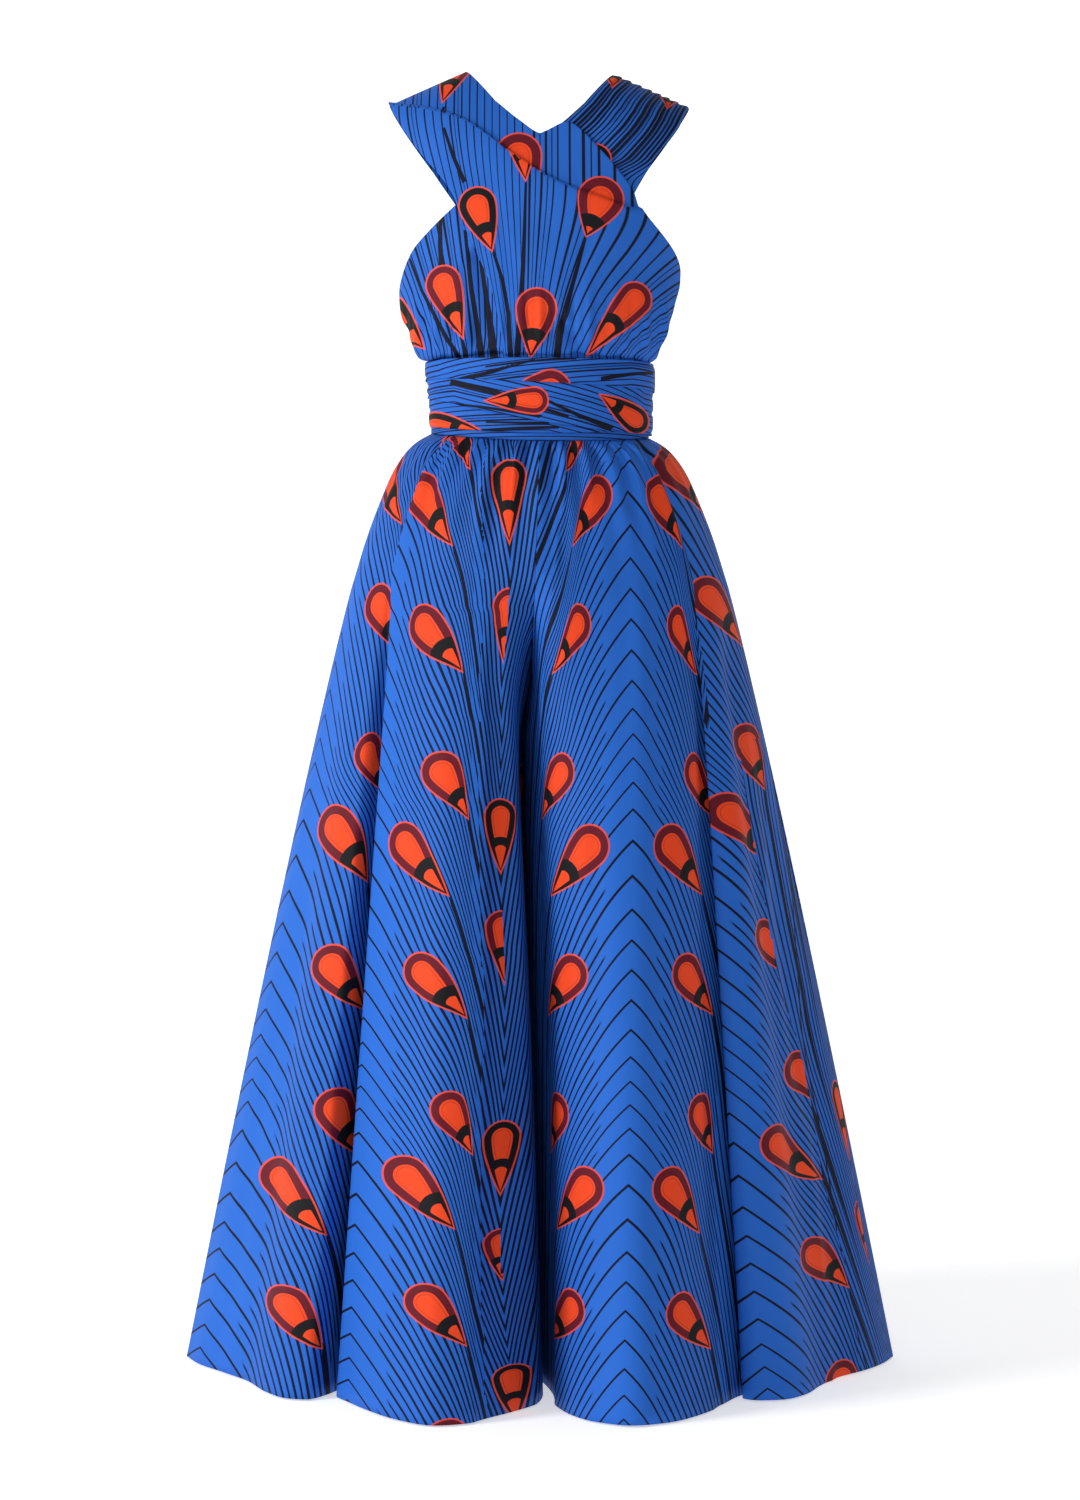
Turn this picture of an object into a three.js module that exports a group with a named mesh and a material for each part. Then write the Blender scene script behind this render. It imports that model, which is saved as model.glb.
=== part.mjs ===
// A wide leg infinity jumpsuit of printed cotton in its worn form, open and empty.
// Lengths are millimetres. Heights in the tables are measured up from the hem, and the
// finished group is lowered so that its origin lies between the straps on the shoulders.
// The front faces -Y and the wearer's left is at +X.

import * as THREE from "three";

const TOP = 1480; // highest point of the straps above the hem
const SEAM = 0.3; // gap between pieces where they are sewn together
const LEG_WALL = 1.6;
const BAND_WALL = 1.5;
const STRAP_WALL = 1.5;

const HIP = 898; // the legs flare in straight lines below this height
const WAIST = 1060; // mean height of the waist seam
const CROTCH = 724;
const SWING_TOP = 860; // the rise seam starts to turn back towards the crotch here
const SWING_END = 500; // the cloth beside the inner corner has turned back by here
const FLARE_POWER = 0.92; // the flare is a little fuller than a straight line
const INNER_X = 2.2; // half of the gap between the two inner leg walls
const INNER_PARTING = 40; // height below the crotch over which that gap opens
const INNER_CORNER = 4; // how sharply an inner wall turns into the front of its leg
const INNER_WAVE = { depth: 9, length: 300, from: 740, full: 640, width: 70 }; // of those walls

const BAND_TOP = 1105; // the waistband ends and the straps begin here
const SHOULDER_ROUND = 95; // depth below the shoulder line over which the straps turn over
const NECK_X = 85; // inner end of the shoulder line
const SHOULDER_X = 172; // its outer end
const SHOULDER_SLOPE = 0.437;
const NECK_SLOPE = 0.2;
const SHOULDER_BLEND = { from: 1375, over: 70 }; // higher rows follow the shoulder line

const COLOURS = { blue: 0x2d6ee1, deepBlue: 0x2559c0 };

// A table is a list of rows under named columns.
function table(columns, rows) {
  const result = {};
  columns.split(" ").forEach((name, index) => {
    result[name] = rows.map((row) => row[index]);
  });
  return result;
}

// Half widths and depths of the trunk and hips, from the waist seam down.
const hips = table("height side front back", [
  [HIP, 215, 158, 163],
  [945, 200, 147, 151],
  [988, 183, 136, 138],
  [1020, 168, 125, 125],
  [1042, 152, 114, 111],
  [1053, 139, 105, 100],
  [WAIST, 126, 94, 88],
]);

// Half widths and depths of the upper body, from the waist seam up.
const bodice = table("height side front back power", [
  [WAIST, 125, 93, 87, 2],
  [BAND_TOP, 125, 93, 87, 2],
  [1148, 126, 94, 88, 2],
  [1158, 141, 105, 92, 2],
  [1170, 150, 111, 94, 2],
  [1195, 159, 117, 96, 2],
  [1225, 163, 121, 97, 2],
  [1260, 163.5, 123, 99, 2.1],
  [1300, 165, 118, 101, 2.3],
  [1350, 171, 106, 101, 2.7],
  [1400, 179, 92, 95, 3.2],
  [1450, 187, 80, 85, 3.6],
  [1500, 192, 72, 78, 3.8],
]);

// Sideways drift of the line between the legs.
const centreLine = table("height shift", [
  [0, 0],
  [430, -6],
  [CROTCH, -12],
  [900, -5],
  [WAIST, 0],
]);

// Heights of an edge that runs round the waist, at the front, left, back and right.
const waistSeam = { front: 1050, left: 1062, back: 1066, right: 1067 };

// Fold lines of each leg panel from the inseam to the side seam: where the line meets the
// hip, as an angle round from the centre, and where it meets the hem, seen from above.
const folds = {
  leftFront: table("angle hemX hemDepth", [
    [0, 0, 0],
    [1.5, 3, 75],
    [3, 3, 150],
    [4.5, 4, 215],
    [6, 9, 262],
    [8, 23, 296],
    [11, 40, 326],
    [16, 62, 353],
    [23, 97, 371],
    [31, 132, 358],
    [38, 166, 320],
    [44, 195, 270],
    [48.5, 215, 226],
    [50.5, 236, 200],
    [51.5, 257, 195],
    [52, 262, 207],
    [52.5, 243, 216],
    [53, 224, 222],
    [54, 219, 234],
    [57, 236, 246],
    [61, 262, 242],
    [66, 288, 216],
    [71, 312, 170],
    [76, 336, 128],
    [81, 367, 85],
    [86, 394, 38],
    [90, 408.7, 0],
  ]),
  rightFront: table("angle hemX hemDepth", [
    [0, 0, 0],
    [2, 3, 75],
    [4, 3, 150],
    [6, 4, 215],
    [8.5, 9, 262],
    [12, 23, 294],
    [16, 44, 327],
    [21, 72, 360],
    [27, 108, 371],
    [34, 148, 344],
    [41, 184, 294],
    [46, 208, 250],
    [49, 221, 222],
    [50, 214, 201],
    [50.7, 190, 184],
    [51.2, 168, 172],
    [51.7, 166, 159],
    [52.2, 186, 155],
    [53, 213, 176],
    [55, 233, 218],
    [58, 252, 241],
    [62, 272, 236],
    [67, 300, 200],
    [72, 327, 142],
    [78, 352, 102],
    [84, 390, 45],
    [90, 408.7, 0],
  ]),
  leftBack: table("angle hemX hemDepth", [
    [0, 0, 0],
    [2, 3, 80],
    [4, 4, 160],
    [6.5, 9, 232],
    [10, 30, 290],
    [15, 60, 338],
    [22, 96, 366],
    [30, 132, 352],
    [37, 158, 306],
    [43, 180, 262],
    [48, 205, 246],
    [54, 236, 266],
    [60, 266, 262],
    [66, 292, 222],
    [71, 312, 170],
    [76, 336, 132],
    [81, 368, 92],
    [86, 396, 42],
    [90, 408.7, 0],
  ]),
  rightBack: table("angle hemX hemDepth", [
    [0, 0, 0],
    [2, 3, 80],
    [4, 4, 160],
    [6.5, 8, 228],
    [10, 26, 276],
    [15, 50, 316],
    [21, 84, 352],
    [28, 124, 362],
    [35, 162, 330],
    [42, 190, 276],
    [47, 206, 236],
    [52, 228, 226],
    [57, 256, 246],
    [63, 288, 238],
    [69, 318, 192],
    [75, 342, 140],
    [81, 368, 92],
    [86, 394, 44],
    [90, 408.7, 0],
  ]),
};

const PANELS_ROUND = 4; // leg panels round the waist
const INNER_FOLD = 4; // the fold row at the inner corner of a front or back panel
const LEG_ROWS = [1060, 1052, 1036, 1006, 955, 895, 842, 790, 752, 724, 640, 510, 340, 170, 0];
const LONGEST_STEP = 0.05; // share of the hem past which a column is added between two folds

// Gathers of the legs under the waist seam.
const LEG_GATHERS = { perPanel: 9, depth: 3.4, reach: 105, start: 12, atSeam: 0.3 };
const GATHER_SWAY = { share: 0.45, waves: 5, turn: 1 }; // makes some gathers deeper
// Gathers of the straps over the wraps.
const STRAP_GATHERS = { wave: 28, sway: 23, depth: 2.0, from: 1150, peak: 1170, to: 1238 };
// Pleats of the under strap on the shoulder.
const PLEATS = { count: 7, depth: 1.7, fadeHeight: 1385, fullHeight: 1440 };

// Edges of the straps as seen from the front, from the waistband up to the shoulder. Each row
// of cloth runs from the edge nearer -X to the edge nearer +X.
const overFront = table("fromX fromZ toX toZ", [
  [-40, 1105.3, 123, 1105.3],
  [-40, 1148, 124, 1148],
  [-41, 1160, 136, 1160],
  [-44, 1175, 147, 1178],
  [-50, 1205, 157, 1208],
  [-57, 1230, 160, 1240],
  [-68, 1255, 150, 1279],
  [-76, 1273, 112, 1304],
  [-84, 1290, 101, 1334],
  [-91, 1311, 68, 1376],
  [-98, 1328, 33, 1408],
  [-112, 1349, 4, 1394],
  [-128, 1369, -24, 1411],
  [-143, 1390, -50, 1434],
]);
const underFront = table("fromX fromZ toX toZ", [
  [-123, 1105.3, -14, 1105.3],
  [-124, 1148, -13, 1148],
  [-137, 1160, -8, 1160],
  [-149, 1175, 2, 1178],
  [-157, 1195, 13, 1198],
  [-161, 1222, 26, 1220],
  [-160, 1246, 42, 1242],
  [-147, 1277, 58, 1264],
  [-126, 1297, 77, 1288],
  [-94, 1319, 99, 1314],
  [-70, 1337, 108, 1332],
  [-45, 1356, 118, 1350],
  [-21, 1374, 129, 1368],
  [3, 1393, 141, 1385],
  [27, 1411, 150, 1398],
  [50, 1434, 158, 1411],
]);

// Edges of the over strap on the back, from the shoulder down. The under strap mirrors it.
const overBack = table("fromX fromZ toX toZ", [
  [-134, 1385, -52, 1415],
  [-104, 1345, -24, 1375],
  [-70, 1305, 6, 1338],
  [-36, 1268, 38, 1300],
  [-4, 1234, 68, 1262],
  [26, 1204, 94, 1226],
  [46, 1178, 112, 1194],
  [58, 1160, 122, 1166],
  [66, 1148, 123, 1148],
  [68, 1105.3, 123, 1105.3],
]);

const SHOULDER_STEPS = 4; // rows from the last of a table to the shoulder line
const STRAP_COLUMNS = 22;
const OVER_LIFT = { waist: 2.1, chest: 3.8, from: 1148, over: 25 };

// The soft fold across the over strap, as its line in the front view and its step.
const tuckLine = table("x z", [
  [-172, 1442],
  [-96, 1418],
  [-23, 1366],
  [22, 1338],
  [96, 1312],
]);
const TUCK = { step: 2.2, rise: 7, reach: 70 };

const WRAP_LAYER = { lower: 2.3, middle: 4.6, upper: 6.9 };
const wraps = [
  {
    name: "wrap_lower",
    layer: WRAP_LAYER.lower,
    bottom: { front: 1059, left: 1071, back: 1074, right: 1075 },
    top: { front: 1096, left: 1092, back: 1100, right: 1113 },
  },
  {
    name: "wrap_middle",
    layer: WRAP_LAYER.middle,
    bottom: { front: 1072, left: 1065, back: 1084, right: 1108 },
    top: { front: 1126, left: 1125, back: 1128, right: 1136 },
  },
  {
    name: "wrap_upper",
    layer: WRAP_LAYER.upper,
    bottom: { front: 1116, left: 1115, back: 1118, right: 1128 },
    top: { front: 1143, left: 1147, back: 1148, right: 1149 },
  },
];
const WRAP_SWELL = 0.5; // how far a wrap swells between its edges
const WRAP_ROWS = 3;
const BAND_ROWS = 2;
const RING_COLUMNS = 44;

const clamp = (value, low = 0, high = 1) => Math.min(high, Math.max(low, value));
const mix = (a, b, share) => a + (b - a) * share;
const smooth = (value) => {
  const t = clamp(value);
  return t * t * (3 - 2 * t);
};
const radians = THREE.MathUtils.degToRad;

// Slope of a smooth line through table rows that never overshoots them.
function slopeAt(keys, values, index) {
  if (index === 0 || index === keys.length - 1) return 0;
  const before = (values[index] - values[index - 1]) / (keys[index] - keys[index - 1]);
  const after = (values[index + 1] - values[index]) / (keys[index + 1] - keys[index]);
  return before * after <= 0 ? 0 : (2 * before * after) / (before + after);
}

function endSlope(keys, values, index, neighbour) {
  return (values[neighbour] - values[index]) / (keys[neighbour] - keys[index]);
}

// Value of one column at a key, on the smooth line through the rows.
function through(keys, values, key) {
  const last = keys.length - 1;
  const place = clamp(key, keys[0], keys[last]);
  let i = 0;
  while (i < last - 1 && place > keys[i + 1]) i += 1;
  const span = keys[i + 1] - keys[i];
  const t = (place - keys[i]) / span;
  const m0 = i === 0 ? endSlope(keys, values, 0, 1) : slopeAt(keys, values, i);
  const m1 = i + 1 === last ? endSlope(keys, values, last, last - 1) : slopeAt(keys, values, i + 1);
  const h1 = t * t * (3 - 2 * t);
  const bend = t * (1 - t) * span * ((1 - t) * m0 - t * m1);
  return mix(values[i], values[i + 1], h1) + bend;
}

function sizesAt(sizes, height) {
  const at = (column) => through(sizes.height, sizes[column], height);
  return { side: at("side"), front: at("front"), back: at("back") };
}

// Height of an edge round the waist at an angle from the front, positive to the wearer's left.
function edgeHeight(edge, angle) {
  const mean = (edge.front + edge.left + edge.back + edge.right) / 4;
  const across = ((edge.left - edge.right) / 2) * Math.sin(angle);
  const along = ((edge.front - edge.back) / 2) * Math.cos(angle);
  const twice = ((edge.front + edge.back - edge.left - edge.right) / 4) * Math.cos(2 * angle);
  return mean + across + along + twice;
}

// Unit normals of a grid of points, from the neighbours along its rows and columns.
function gridNormals(grid, closed) {
  const rowCount = grid.length;
  const columnCount = grid[0].length;
  const wrapColumn = (c) => (c + columnCount) % columnCount;
  return grid.map((row, r) =>
    row.map((point, c) => {
      const left = closed ? wrapColumn(c - 1) : Math.max(c - 1, 0);
      const right = closed ? wrapColumn(c + 1) : Math.min(c + 1, columnCount - 1);
      const along = row[right].clone().sub(row[left]);
      const down = grid[Math.min(r + 1, rowCount - 1)][c].clone().sub(grid[Math.max(r - 1, 0)][c]);
      return along.cross(down).normalize();
    })
  );
}

function shiftGrid(grid, normals, distance) {
  return grid.map((row, r) =>
    row.map((point, c) => point.clone().addScaledVector(normals[r][c], distance(r, c)))
  );
}

function signedVolume(points, faces) {
  let total = 0;
  for (let i = 0; i < faces.length; i += 3) {
    const [a, b, c] = [points[faces[i]], points[faces[i + 1]], points[faces[i + 2]]];
    total += a.dot(b.clone().cross(c)) / 6;
  }
  return total;
}

// Closes two grids of points, an outer and an inner skin, into one solid wall.
function wallGeometry(outer, inner, closed) {
  const rowCount = outer.length;
  const columnCount = outer[0].length;
  const points = [...outer.flat(), ...inner.flat()];
  const outerIndex = (r, c) => r * columnCount + (c % columnCount);
  const innerIndex = (r, c) => rowCount * columnCount + outerIndex(r, c);
  const faces = [];
  const quad = (a, b, c, d) => faces.push(a, b, c, a, c, d);
  const spans = closed ? columnCount : columnCount - 1;
  for (let c = 0; c < spans; c += 1) {
    for (let r = 0; r < rowCount - 1; r += 1) {
      quad(outerIndex(r, c), outerIndex(r, c + 1), outerIndex(r + 1, c + 1), outerIndex(r + 1, c));
      quad(innerIndex(r, c), innerIndex(r + 1, c), innerIndex(r + 1, c + 1), innerIndex(r, c + 1));
    }
    const end = rowCount - 1;
    quad(outerIndex(0, c), innerIndex(0, c), innerIndex(0, c + 1), outerIndex(0, c + 1));
    quad(outerIndex(end, c), outerIndex(end, c + 1), innerIndex(end, c + 1), innerIndex(end, c));
  }
  if (!closed) {
    const side = columnCount - 1;
    for (let r = 0; r < rowCount - 1; r += 1) {
      quad(outerIndex(r, 0), outerIndex(r + 1, 0), innerIndex(r + 1, 0), innerIndex(r, 0));
      quad(outerIndex(r, side), innerIndex(r, side), innerIndex(r + 1, side), outerIndex(r + 1, side));
    }
  }
  if (signedVolume(points, faces) < 0) faces.reverse();
  const geometry = new THREE.BufferGeometry().setFromPoints(points);
  geometry.setIndex(faces);
  geometry.computeVertexNormals();
  return geometry;
}

function clothMesh(name, geometry, colour) {
  const material = new THREE.MeshStandardMaterial({ color: colour, roughness: 0.82, metalness: 0 });
  const mesh = new THREE.Mesh(geometry, material);
  mesh.name = name;
  mesh.position.z = -TOP;
  return mesh;
}

// The share of the hem at which each fold line stands, from the inseam to the side seam.
function hemShares(fold) {
  const lengths = [0];
  for (let i = 1; i < fold.hemX.length; i += 1) {
    const step = Math.hypot(fold.hemX[i] - fold.hemX[i - 1], fold.hemDepth[i] - fold.hemDepth[i - 1]);
    lengths.push(lengths[i - 1] + step);
  }
  return lengths.map((length) => length / lengths[lengths.length - 1]);
}

// One point of a leg panel before its gathers: its distance from the centre and its depth.
function legOutline(panel, share, height) {
  const at = (column) => through(panel.shares, panel.fold[column], share);
  const angle = radians(at("angle"));
  const size = sizesAt(hips, height);
  const reach = panel.isBack ? size.back : size.front;
  const flare = Math.pow(clamp((HIP - height) / HIP), FLARE_POWER);
  return {
    angle,
    x: mix(size.side * Math.sin(angle), at("hemX"), flare),
    depth: mix(reach * Math.cos(angle), at("hemDepth"), flare),
    hemDepth: at("hemDepth"),
  };
}

// The cloth inside the inner corner swings back under the rise seam and becomes the inner wall.
function swingBack(panel, share, height, point) {
  const innerShare = panel.shares[INNER_FOLD];
  if (share >= innerShare || height >= SWING_TOP) return point;
  const corner = legOutline(panel, innerShare, height);
  const part = share / innerShare;
  const end = mix(CROTCH, SWING_END, part);
  const swing = Math.pow(clamp((SWING_TOP - height) / (SWING_TOP - end)), 2);
  const wallX = INNER_X * smooth((CROTCH - height) / INNER_PARTING);
  return {
    angle: point.angle,
    x: mix(point.x, mix(wallX, corner.x, Math.pow(part, INNER_CORNER)), swing),
    depth: mix(point.depth, (corner.depth * point.hemDepth) / corner.hemDepth, swing),
  };
}

function legGather(angle, below) {
  const { perPanel, depth, reach, start, atSeam } = LEG_GATHERS;
  const sway = 1 + GATHER_SWAY.share * Math.sin(GATHER_SWAY.waves * angle + GATHER_SWAY.turn);
  const wave = Math.cos(PANELS_ROUND * perPanel * angle) * sway;
  const strength = mix(atSeam, 1, smooth(below / start)) * Math.exp(-Math.pow(below / reach, 2));
  return depth * wave * strength;
}

// Sideways place of the line between the legs. Both inner walls wave together along it.
function centreDrift(height, y) {
  const { depth, length, from, full } = INNER_WAVE;
  const wave = depth * Math.sin((2 * Math.PI * y) / length) * smooth((from - height) / (from - full));
  return through(centreLine.height, centreLine.shift, height) + wave;
}

function legPoint(panel, share, row) {
  const base = swingBack(panel, share, row, legOutline(panel, share, row));
  const turn = panel.isBack ? Math.PI - base.angle : base.angle;
  const dip = edgeHeight(waistSeam, panel.side * turn) - WAIST;
  const height = row + dip * clamp((row - HIP) / (WAIST - HIP));
  const gather = legGather(base.angle, WAIST - row);
  const x = base.x + gather * Math.sin(base.angle);
  const depth = base.depth + gather * Math.cos(base.angle);
  const facing = panel.isBack ? 1 : -1;
  const drift = centreDrift(row, facing * depth) * Math.exp(-Math.pow(x / INNER_WAVE.width, 2));
  return new THREE.Vector3(panel.side * (x + SEAM / 2) + drift, facing * (depth + SEAM / 2), height);
}

// Columns stand at every fold line, with one more between two that are far apart.
function legColumns(shares) {
  const columns = [shares[0]];
  for (let i = 1; i < shares.length; i += 1) {
    if (shares[i] - shares[i - 1] > LONGEST_STEP) columns.push((shares[i] + shares[i - 1]) / 2);
    columns.push(shares[i]);
  }
  return columns;
}

// Holds a point on its own side of the centre line and of the side seam and inseam.
function keepToSeams(panel, point) {
  const centre = centreDrift(point.z, point.y);
  point.x = centre + panel.side * Math.max(panel.side * (point.x - centre), SEAM / 2);
  point.y = panel.isBack ? Math.max(point.y, SEAM / 2) : Math.min(point.y, -SEAM / 2);
}

function legPanel(name, fold, side, isBack) {
  const panel = { fold, shares: hemShares(fold), side, isBack };
  const outward = side * (isBack ? -1 : 1);
  const columns = legColumns(panel.shares);
  const outer = LEG_ROWS.map((row) => columns.map((share) => legPoint(panel, share, row)));
  const normals = gridNormals(outer, false);
  const inner = shiftGrid(outer, normals, () => LEG_WALL * outward);
  inner.flat().forEach((point) => keepToSeams(panel, point));
  return clothMesh(name, wallGeometry(outer, inner, false), COLOURS.blue);
}

// Height of the shoulder line. Inside the neck it is only a guide for the rows below it.
function ridgeHeight(x) {
  const out = Math.abs(x) - NECK_X;
  return TOP - out * (out > 0 ? SHOULDER_SLOPE : NECK_SLOPE);
}

// A point on the upper body, from a sideways place, a height and the side it faces.
function bodyPoint(x, height, isBack) {
  const size = sizesAt(bodice, height);
  const below = clamp((ridgeHeight(x) - height) / SHOULDER_ROUND);
  const rounding = Math.sqrt(1 - Math.pow(1 - below, 2));
  const reach = isBack ? size.back : size.front;
  const power = through(bodice.height, bodice.power, height);
  const narrowing = Math.pow(clamp(1 - Math.pow(Math.abs(x) / size.side, power)), 1 / power);
  const depth = reach * narrowing * rounding;
  return new THREE.Vector3(x, isBack ? depth : -depth, height);
}

// One row across a strap. Low rows go round the body, and high ones follow the shoulder line.
function strapRow(edge, isBack) {
  const sideAt = (height) => sizesAt(bodice, height).side;
  const fromAngle = Math.asin(clamp(edge.fromX / sideAt(edge.fromZ), -1, 1));
  const toAngle = Math.asin(clamp(edge.toX / sideAt(edge.toZ), -1, 1));
  const fromBelow = ridgeHeight(edge.fromX) - edge.fromZ;
  const toBelow = ridgeHeight(edge.toX) - edge.toZ;
  const middle = (edge.fromZ + edge.toZ) / 2;
  const shoulder = smooth((middle - SHOULDER_BLEND.from) / SHOULDER_BLEND.over);
  const row = [];
  for (let c = 0; c <= STRAP_COLUMNS; c += 1) {
    const share = c / STRAP_COLUMNS;
    const level = mix(edge.fromZ, edge.toZ, share);
    const roundX = sideAt(level) * Math.sin(mix(fromAngle, toAngle, share));
    const x = mix(roundX, mix(edge.fromX, edge.toX, share), shoulder);
    const height = mix(level, ridgeHeight(x) - mix(fromBelow, toBelow, share), shoulder);
    row.push(bodyPoint(x, height, isBack));
  }
  return row;
}

function tableRows(edges) {
  return edges.fromX.map((fromX, i) => ({
    fromX,
    fromZ: edges.fromZ[i],
    toX: edges.toX[i],
    toZ: edges.toZ[i],
  }));
}

// A point between a strap's edge and the shoulder line, at even steps of the turn over it.
function shoulderEdge(x, z, endX, step) {
  const start = ridgeHeight(x) - z;
  const startTurn = Math.acos(1 - clamp(start / SHOULDER_ROUND));
  const turn = startTurn * (1 - step / SHOULDER_STEPS);
  const below = (start * (1 - Math.cos(turn))) / (1 - Math.cos(startTurn));
  const newX = mix(x, endX, 1 - below / start);
  return { x: newX, z: ridgeHeight(newX) - below };
}

// Rows that carry a strap from a row of its table up to the shoulder line.
function shoulderRows(edge, fromEnd, toEnd, steps) {
  return steps.map((step) => {
    const left = shoulderEdge(edge.fromX, edge.fromZ, fromEnd, step);
    const right = shoulderEdge(edge.toX, edge.toZ, toEnd, step);
    return { fromX: left.x, fromZ: left.z, toX: right.x, toZ: right.z };
  });
}

function strapGather(x, height) {
  const { wave, sway, depth, from, peak, to } = STRAP_GATHERS;
  const window = smooth((height - from) / (peak - from)) * smooth((to - height) / (to - peak));
  return depth * window * Math.cos((2 * Math.PI * x) / wave + Math.sin(x / sway));
}

function tuckStep(x, height) {
  const below = through(tuckLine.x, tuckLine.z, x) - height;
  return TUCK.step * smooth(below / TUCK.rise) * (1 - smooth((below - TUCK.rise) / TUCK.reach));
}

function overLift(point) {
  const { waist, chest, from, over } = OVER_LIFT;
  const lift = mix(waist, chest, smooth((point.z - from) / over));
  const tuck = point.y < 0 ? tuckStep(point.x, point.z) : 0;
  return lift + tuck + strapGather(point.x, point.z);
}

function underLift(point, share) {
  const strength = smooth((point.z - PLEATS.fadeHeight) / (PLEATS.fullHeight - PLEATS.fadeHeight));
  const pleat = PLEATS.depth * strength * (1 - Math.cos(2 * Math.PI * PLEATS.count * share)) / 2;
  return pleat + strapGather(point.x, point.z);
}

// The rows of a strap from the front waist over one shoulder to the back waist.
function strapGrid(front, back, fromEnd, toEnd) {
  const frontRows = tableRows(front);
  const backRows = tableRows(back);
  const upward = Array.from({ length: SHOULDER_STEPS }, (_, step) => step + 1);
  const downward = upward.slice(0, -1).reverse();
  const lastFront = frontRows[frontRows.length - 1];
  return [
    ...frontRows.map((edge) => strapRow(edge, false)),
    ...shoulderRows(lastFront, fromEnd, toEnd, upward).map((edge) => strapRow(edge, false)),
    ...shoulderRows(backRows[0], fromEnd, toEnd, downward).map((edge) => strapRow(edge, true)),
    ...backRows.map((edge) => strapRow(edge, true)),
  ];
}

function mirrored(edges) {
  return {
    fromX: edges.toX.map((x) => -x),
    fromZ: edges.toZ,
    toX: edges.fromX.map((x) => -x),
    toZ: edges.fromZ,
  };
}

function strap(name, grid, lift, colour) {
  const normals = gridNormals(grid, false);
  const share = (c) => c / STRAP_COLUMNS;
  const outer = shiftGrid(grid, normals, (r, c) => lift(grid[r][c], share(c)));
  const inner = shiftGrid(grid, normals, (r, c) => lift(grid[r][c], share(c)) - STRAP_WALL);
  return clothMesh(name, wallGeometry(outer, inner, false), colour);
}

// One point of a band round the waist, at an angle from the front and a share of its height.
function ringPoint(bottom, top, out, angle, level) {
  const size = sizesAt(bodice, BAND_TOP);
  const depth = (Math.cos(angle) > 0 ? size.front : size.back) + out;
  const height = mix(edgeHeight(bottom, angle), edgeHeight(top, angle), level);
  return new THREE.Vector3((size.side + out) * Math.sin(angle), -depth * Math.cos(angle), height);
}

function ring(name, bottom, top, shape, colour) {
  const grid = [];
  for (let r = 0; r < shape.rows; r += 1) {
    const level = r / (shape.rows - 1);
    const out = shape.layer + shape.swell * Math.sin(Math.PI * level);
    const row = [];
    for (let c = 0; c < RING_COLUMNS; c += 1) {
      row.push(ringPoint(bottom, top, out, (2 * Math.PI * c) / RING_COLUMNS, level));
    }
    grid.push(row);
  }
  const normals = gridNormals(grid, true);
  const inner = shiftGrid(grid, normals, () => -BAND_WALL);
  return clothMesh(name, wallGeometry(grid, inner, true), colour);
}

function waistband() {
  const bottom = {};
  const top = {};
  Object.keys(waistSeam).forEach((place) => {
    bottom[place] = waistSeam[place] + SEAM;
    top[place] = BAND_TOP;
  });
  return ring("waistband", bottom, top, { rows: BAND_ROWS, layer: 0, swell: 0 }, COLOURS.deepBlue);
}

function overStrap() {
  const grid = strapGrid(overFront, overBack, -SHOULDER_X, -NECK_X);
  return strap("strap_over", grid, overLift, COLOURS.blue);
}

function underStrap() {
  const grid = strapGrid(underFront, mirrored(overBack), NECK_X, SHOULDER_X);
  return strap("strap_under", grid, underLift, COLOURS.deepBlue);
}

const group = new THREE.Group();
group.add(legPanel("left_leg_front", folds.leftFront, 1, false));
group.add(legPanel("left_leg_back", folds.leftBack, 1, true));
group.add(legPanel("right_leg_front", folds.rightFront, -1, false));
group.add(legPanel("right_leg_back", folds.rightBack, -1, true));
group.add(waistband());
group.add(underStrap());
group.add(overStrap());
wraps.forEach(({ name, bottom, top, layer }) => {
  const shape = { rows: WRAP_ROWS, layer, swell: WRAP_SWELL };
  group.add(ring(name, bottom, top, shape, COLOURS.blue));
});

export default group;
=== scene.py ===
# Looks of a wide leg infinity jumpsuit of wax-printed cotton, in its worn form and empty.
# The cloth's form is in millimetres, with heights up from the hem, and turns into metres when
# a mesh is made. The print's own sizes are in metres.
import math
from functools import partial
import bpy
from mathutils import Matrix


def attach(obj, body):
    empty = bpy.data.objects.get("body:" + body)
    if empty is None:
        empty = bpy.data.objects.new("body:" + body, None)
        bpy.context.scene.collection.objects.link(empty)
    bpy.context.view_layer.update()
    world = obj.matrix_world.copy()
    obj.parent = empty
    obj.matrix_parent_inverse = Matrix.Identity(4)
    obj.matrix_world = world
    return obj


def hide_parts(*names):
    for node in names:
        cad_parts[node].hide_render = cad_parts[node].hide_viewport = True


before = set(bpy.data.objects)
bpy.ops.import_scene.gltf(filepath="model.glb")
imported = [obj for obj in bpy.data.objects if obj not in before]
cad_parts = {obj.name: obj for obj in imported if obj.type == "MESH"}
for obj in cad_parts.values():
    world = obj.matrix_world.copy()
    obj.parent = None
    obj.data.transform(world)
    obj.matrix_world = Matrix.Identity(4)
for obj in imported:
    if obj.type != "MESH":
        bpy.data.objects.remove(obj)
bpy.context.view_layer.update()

from types import SimpleNamespace as Sizes

import bpy
import numpy as np
from mathutils import Vector


def clamp(value, low=0.0, high=1.0):
    return np.clip(value, low, high)


def mix(a, b, share):
    return a + (b - a) * share


def smooth(value):
    t = clamp(value)
    return t * t * (3 - 2 * t)


# 0 at the first place and 1 at the second, with an easy start and end.
def rise(value, start, full):
    return smooth((value - start) / (full - start))


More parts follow.
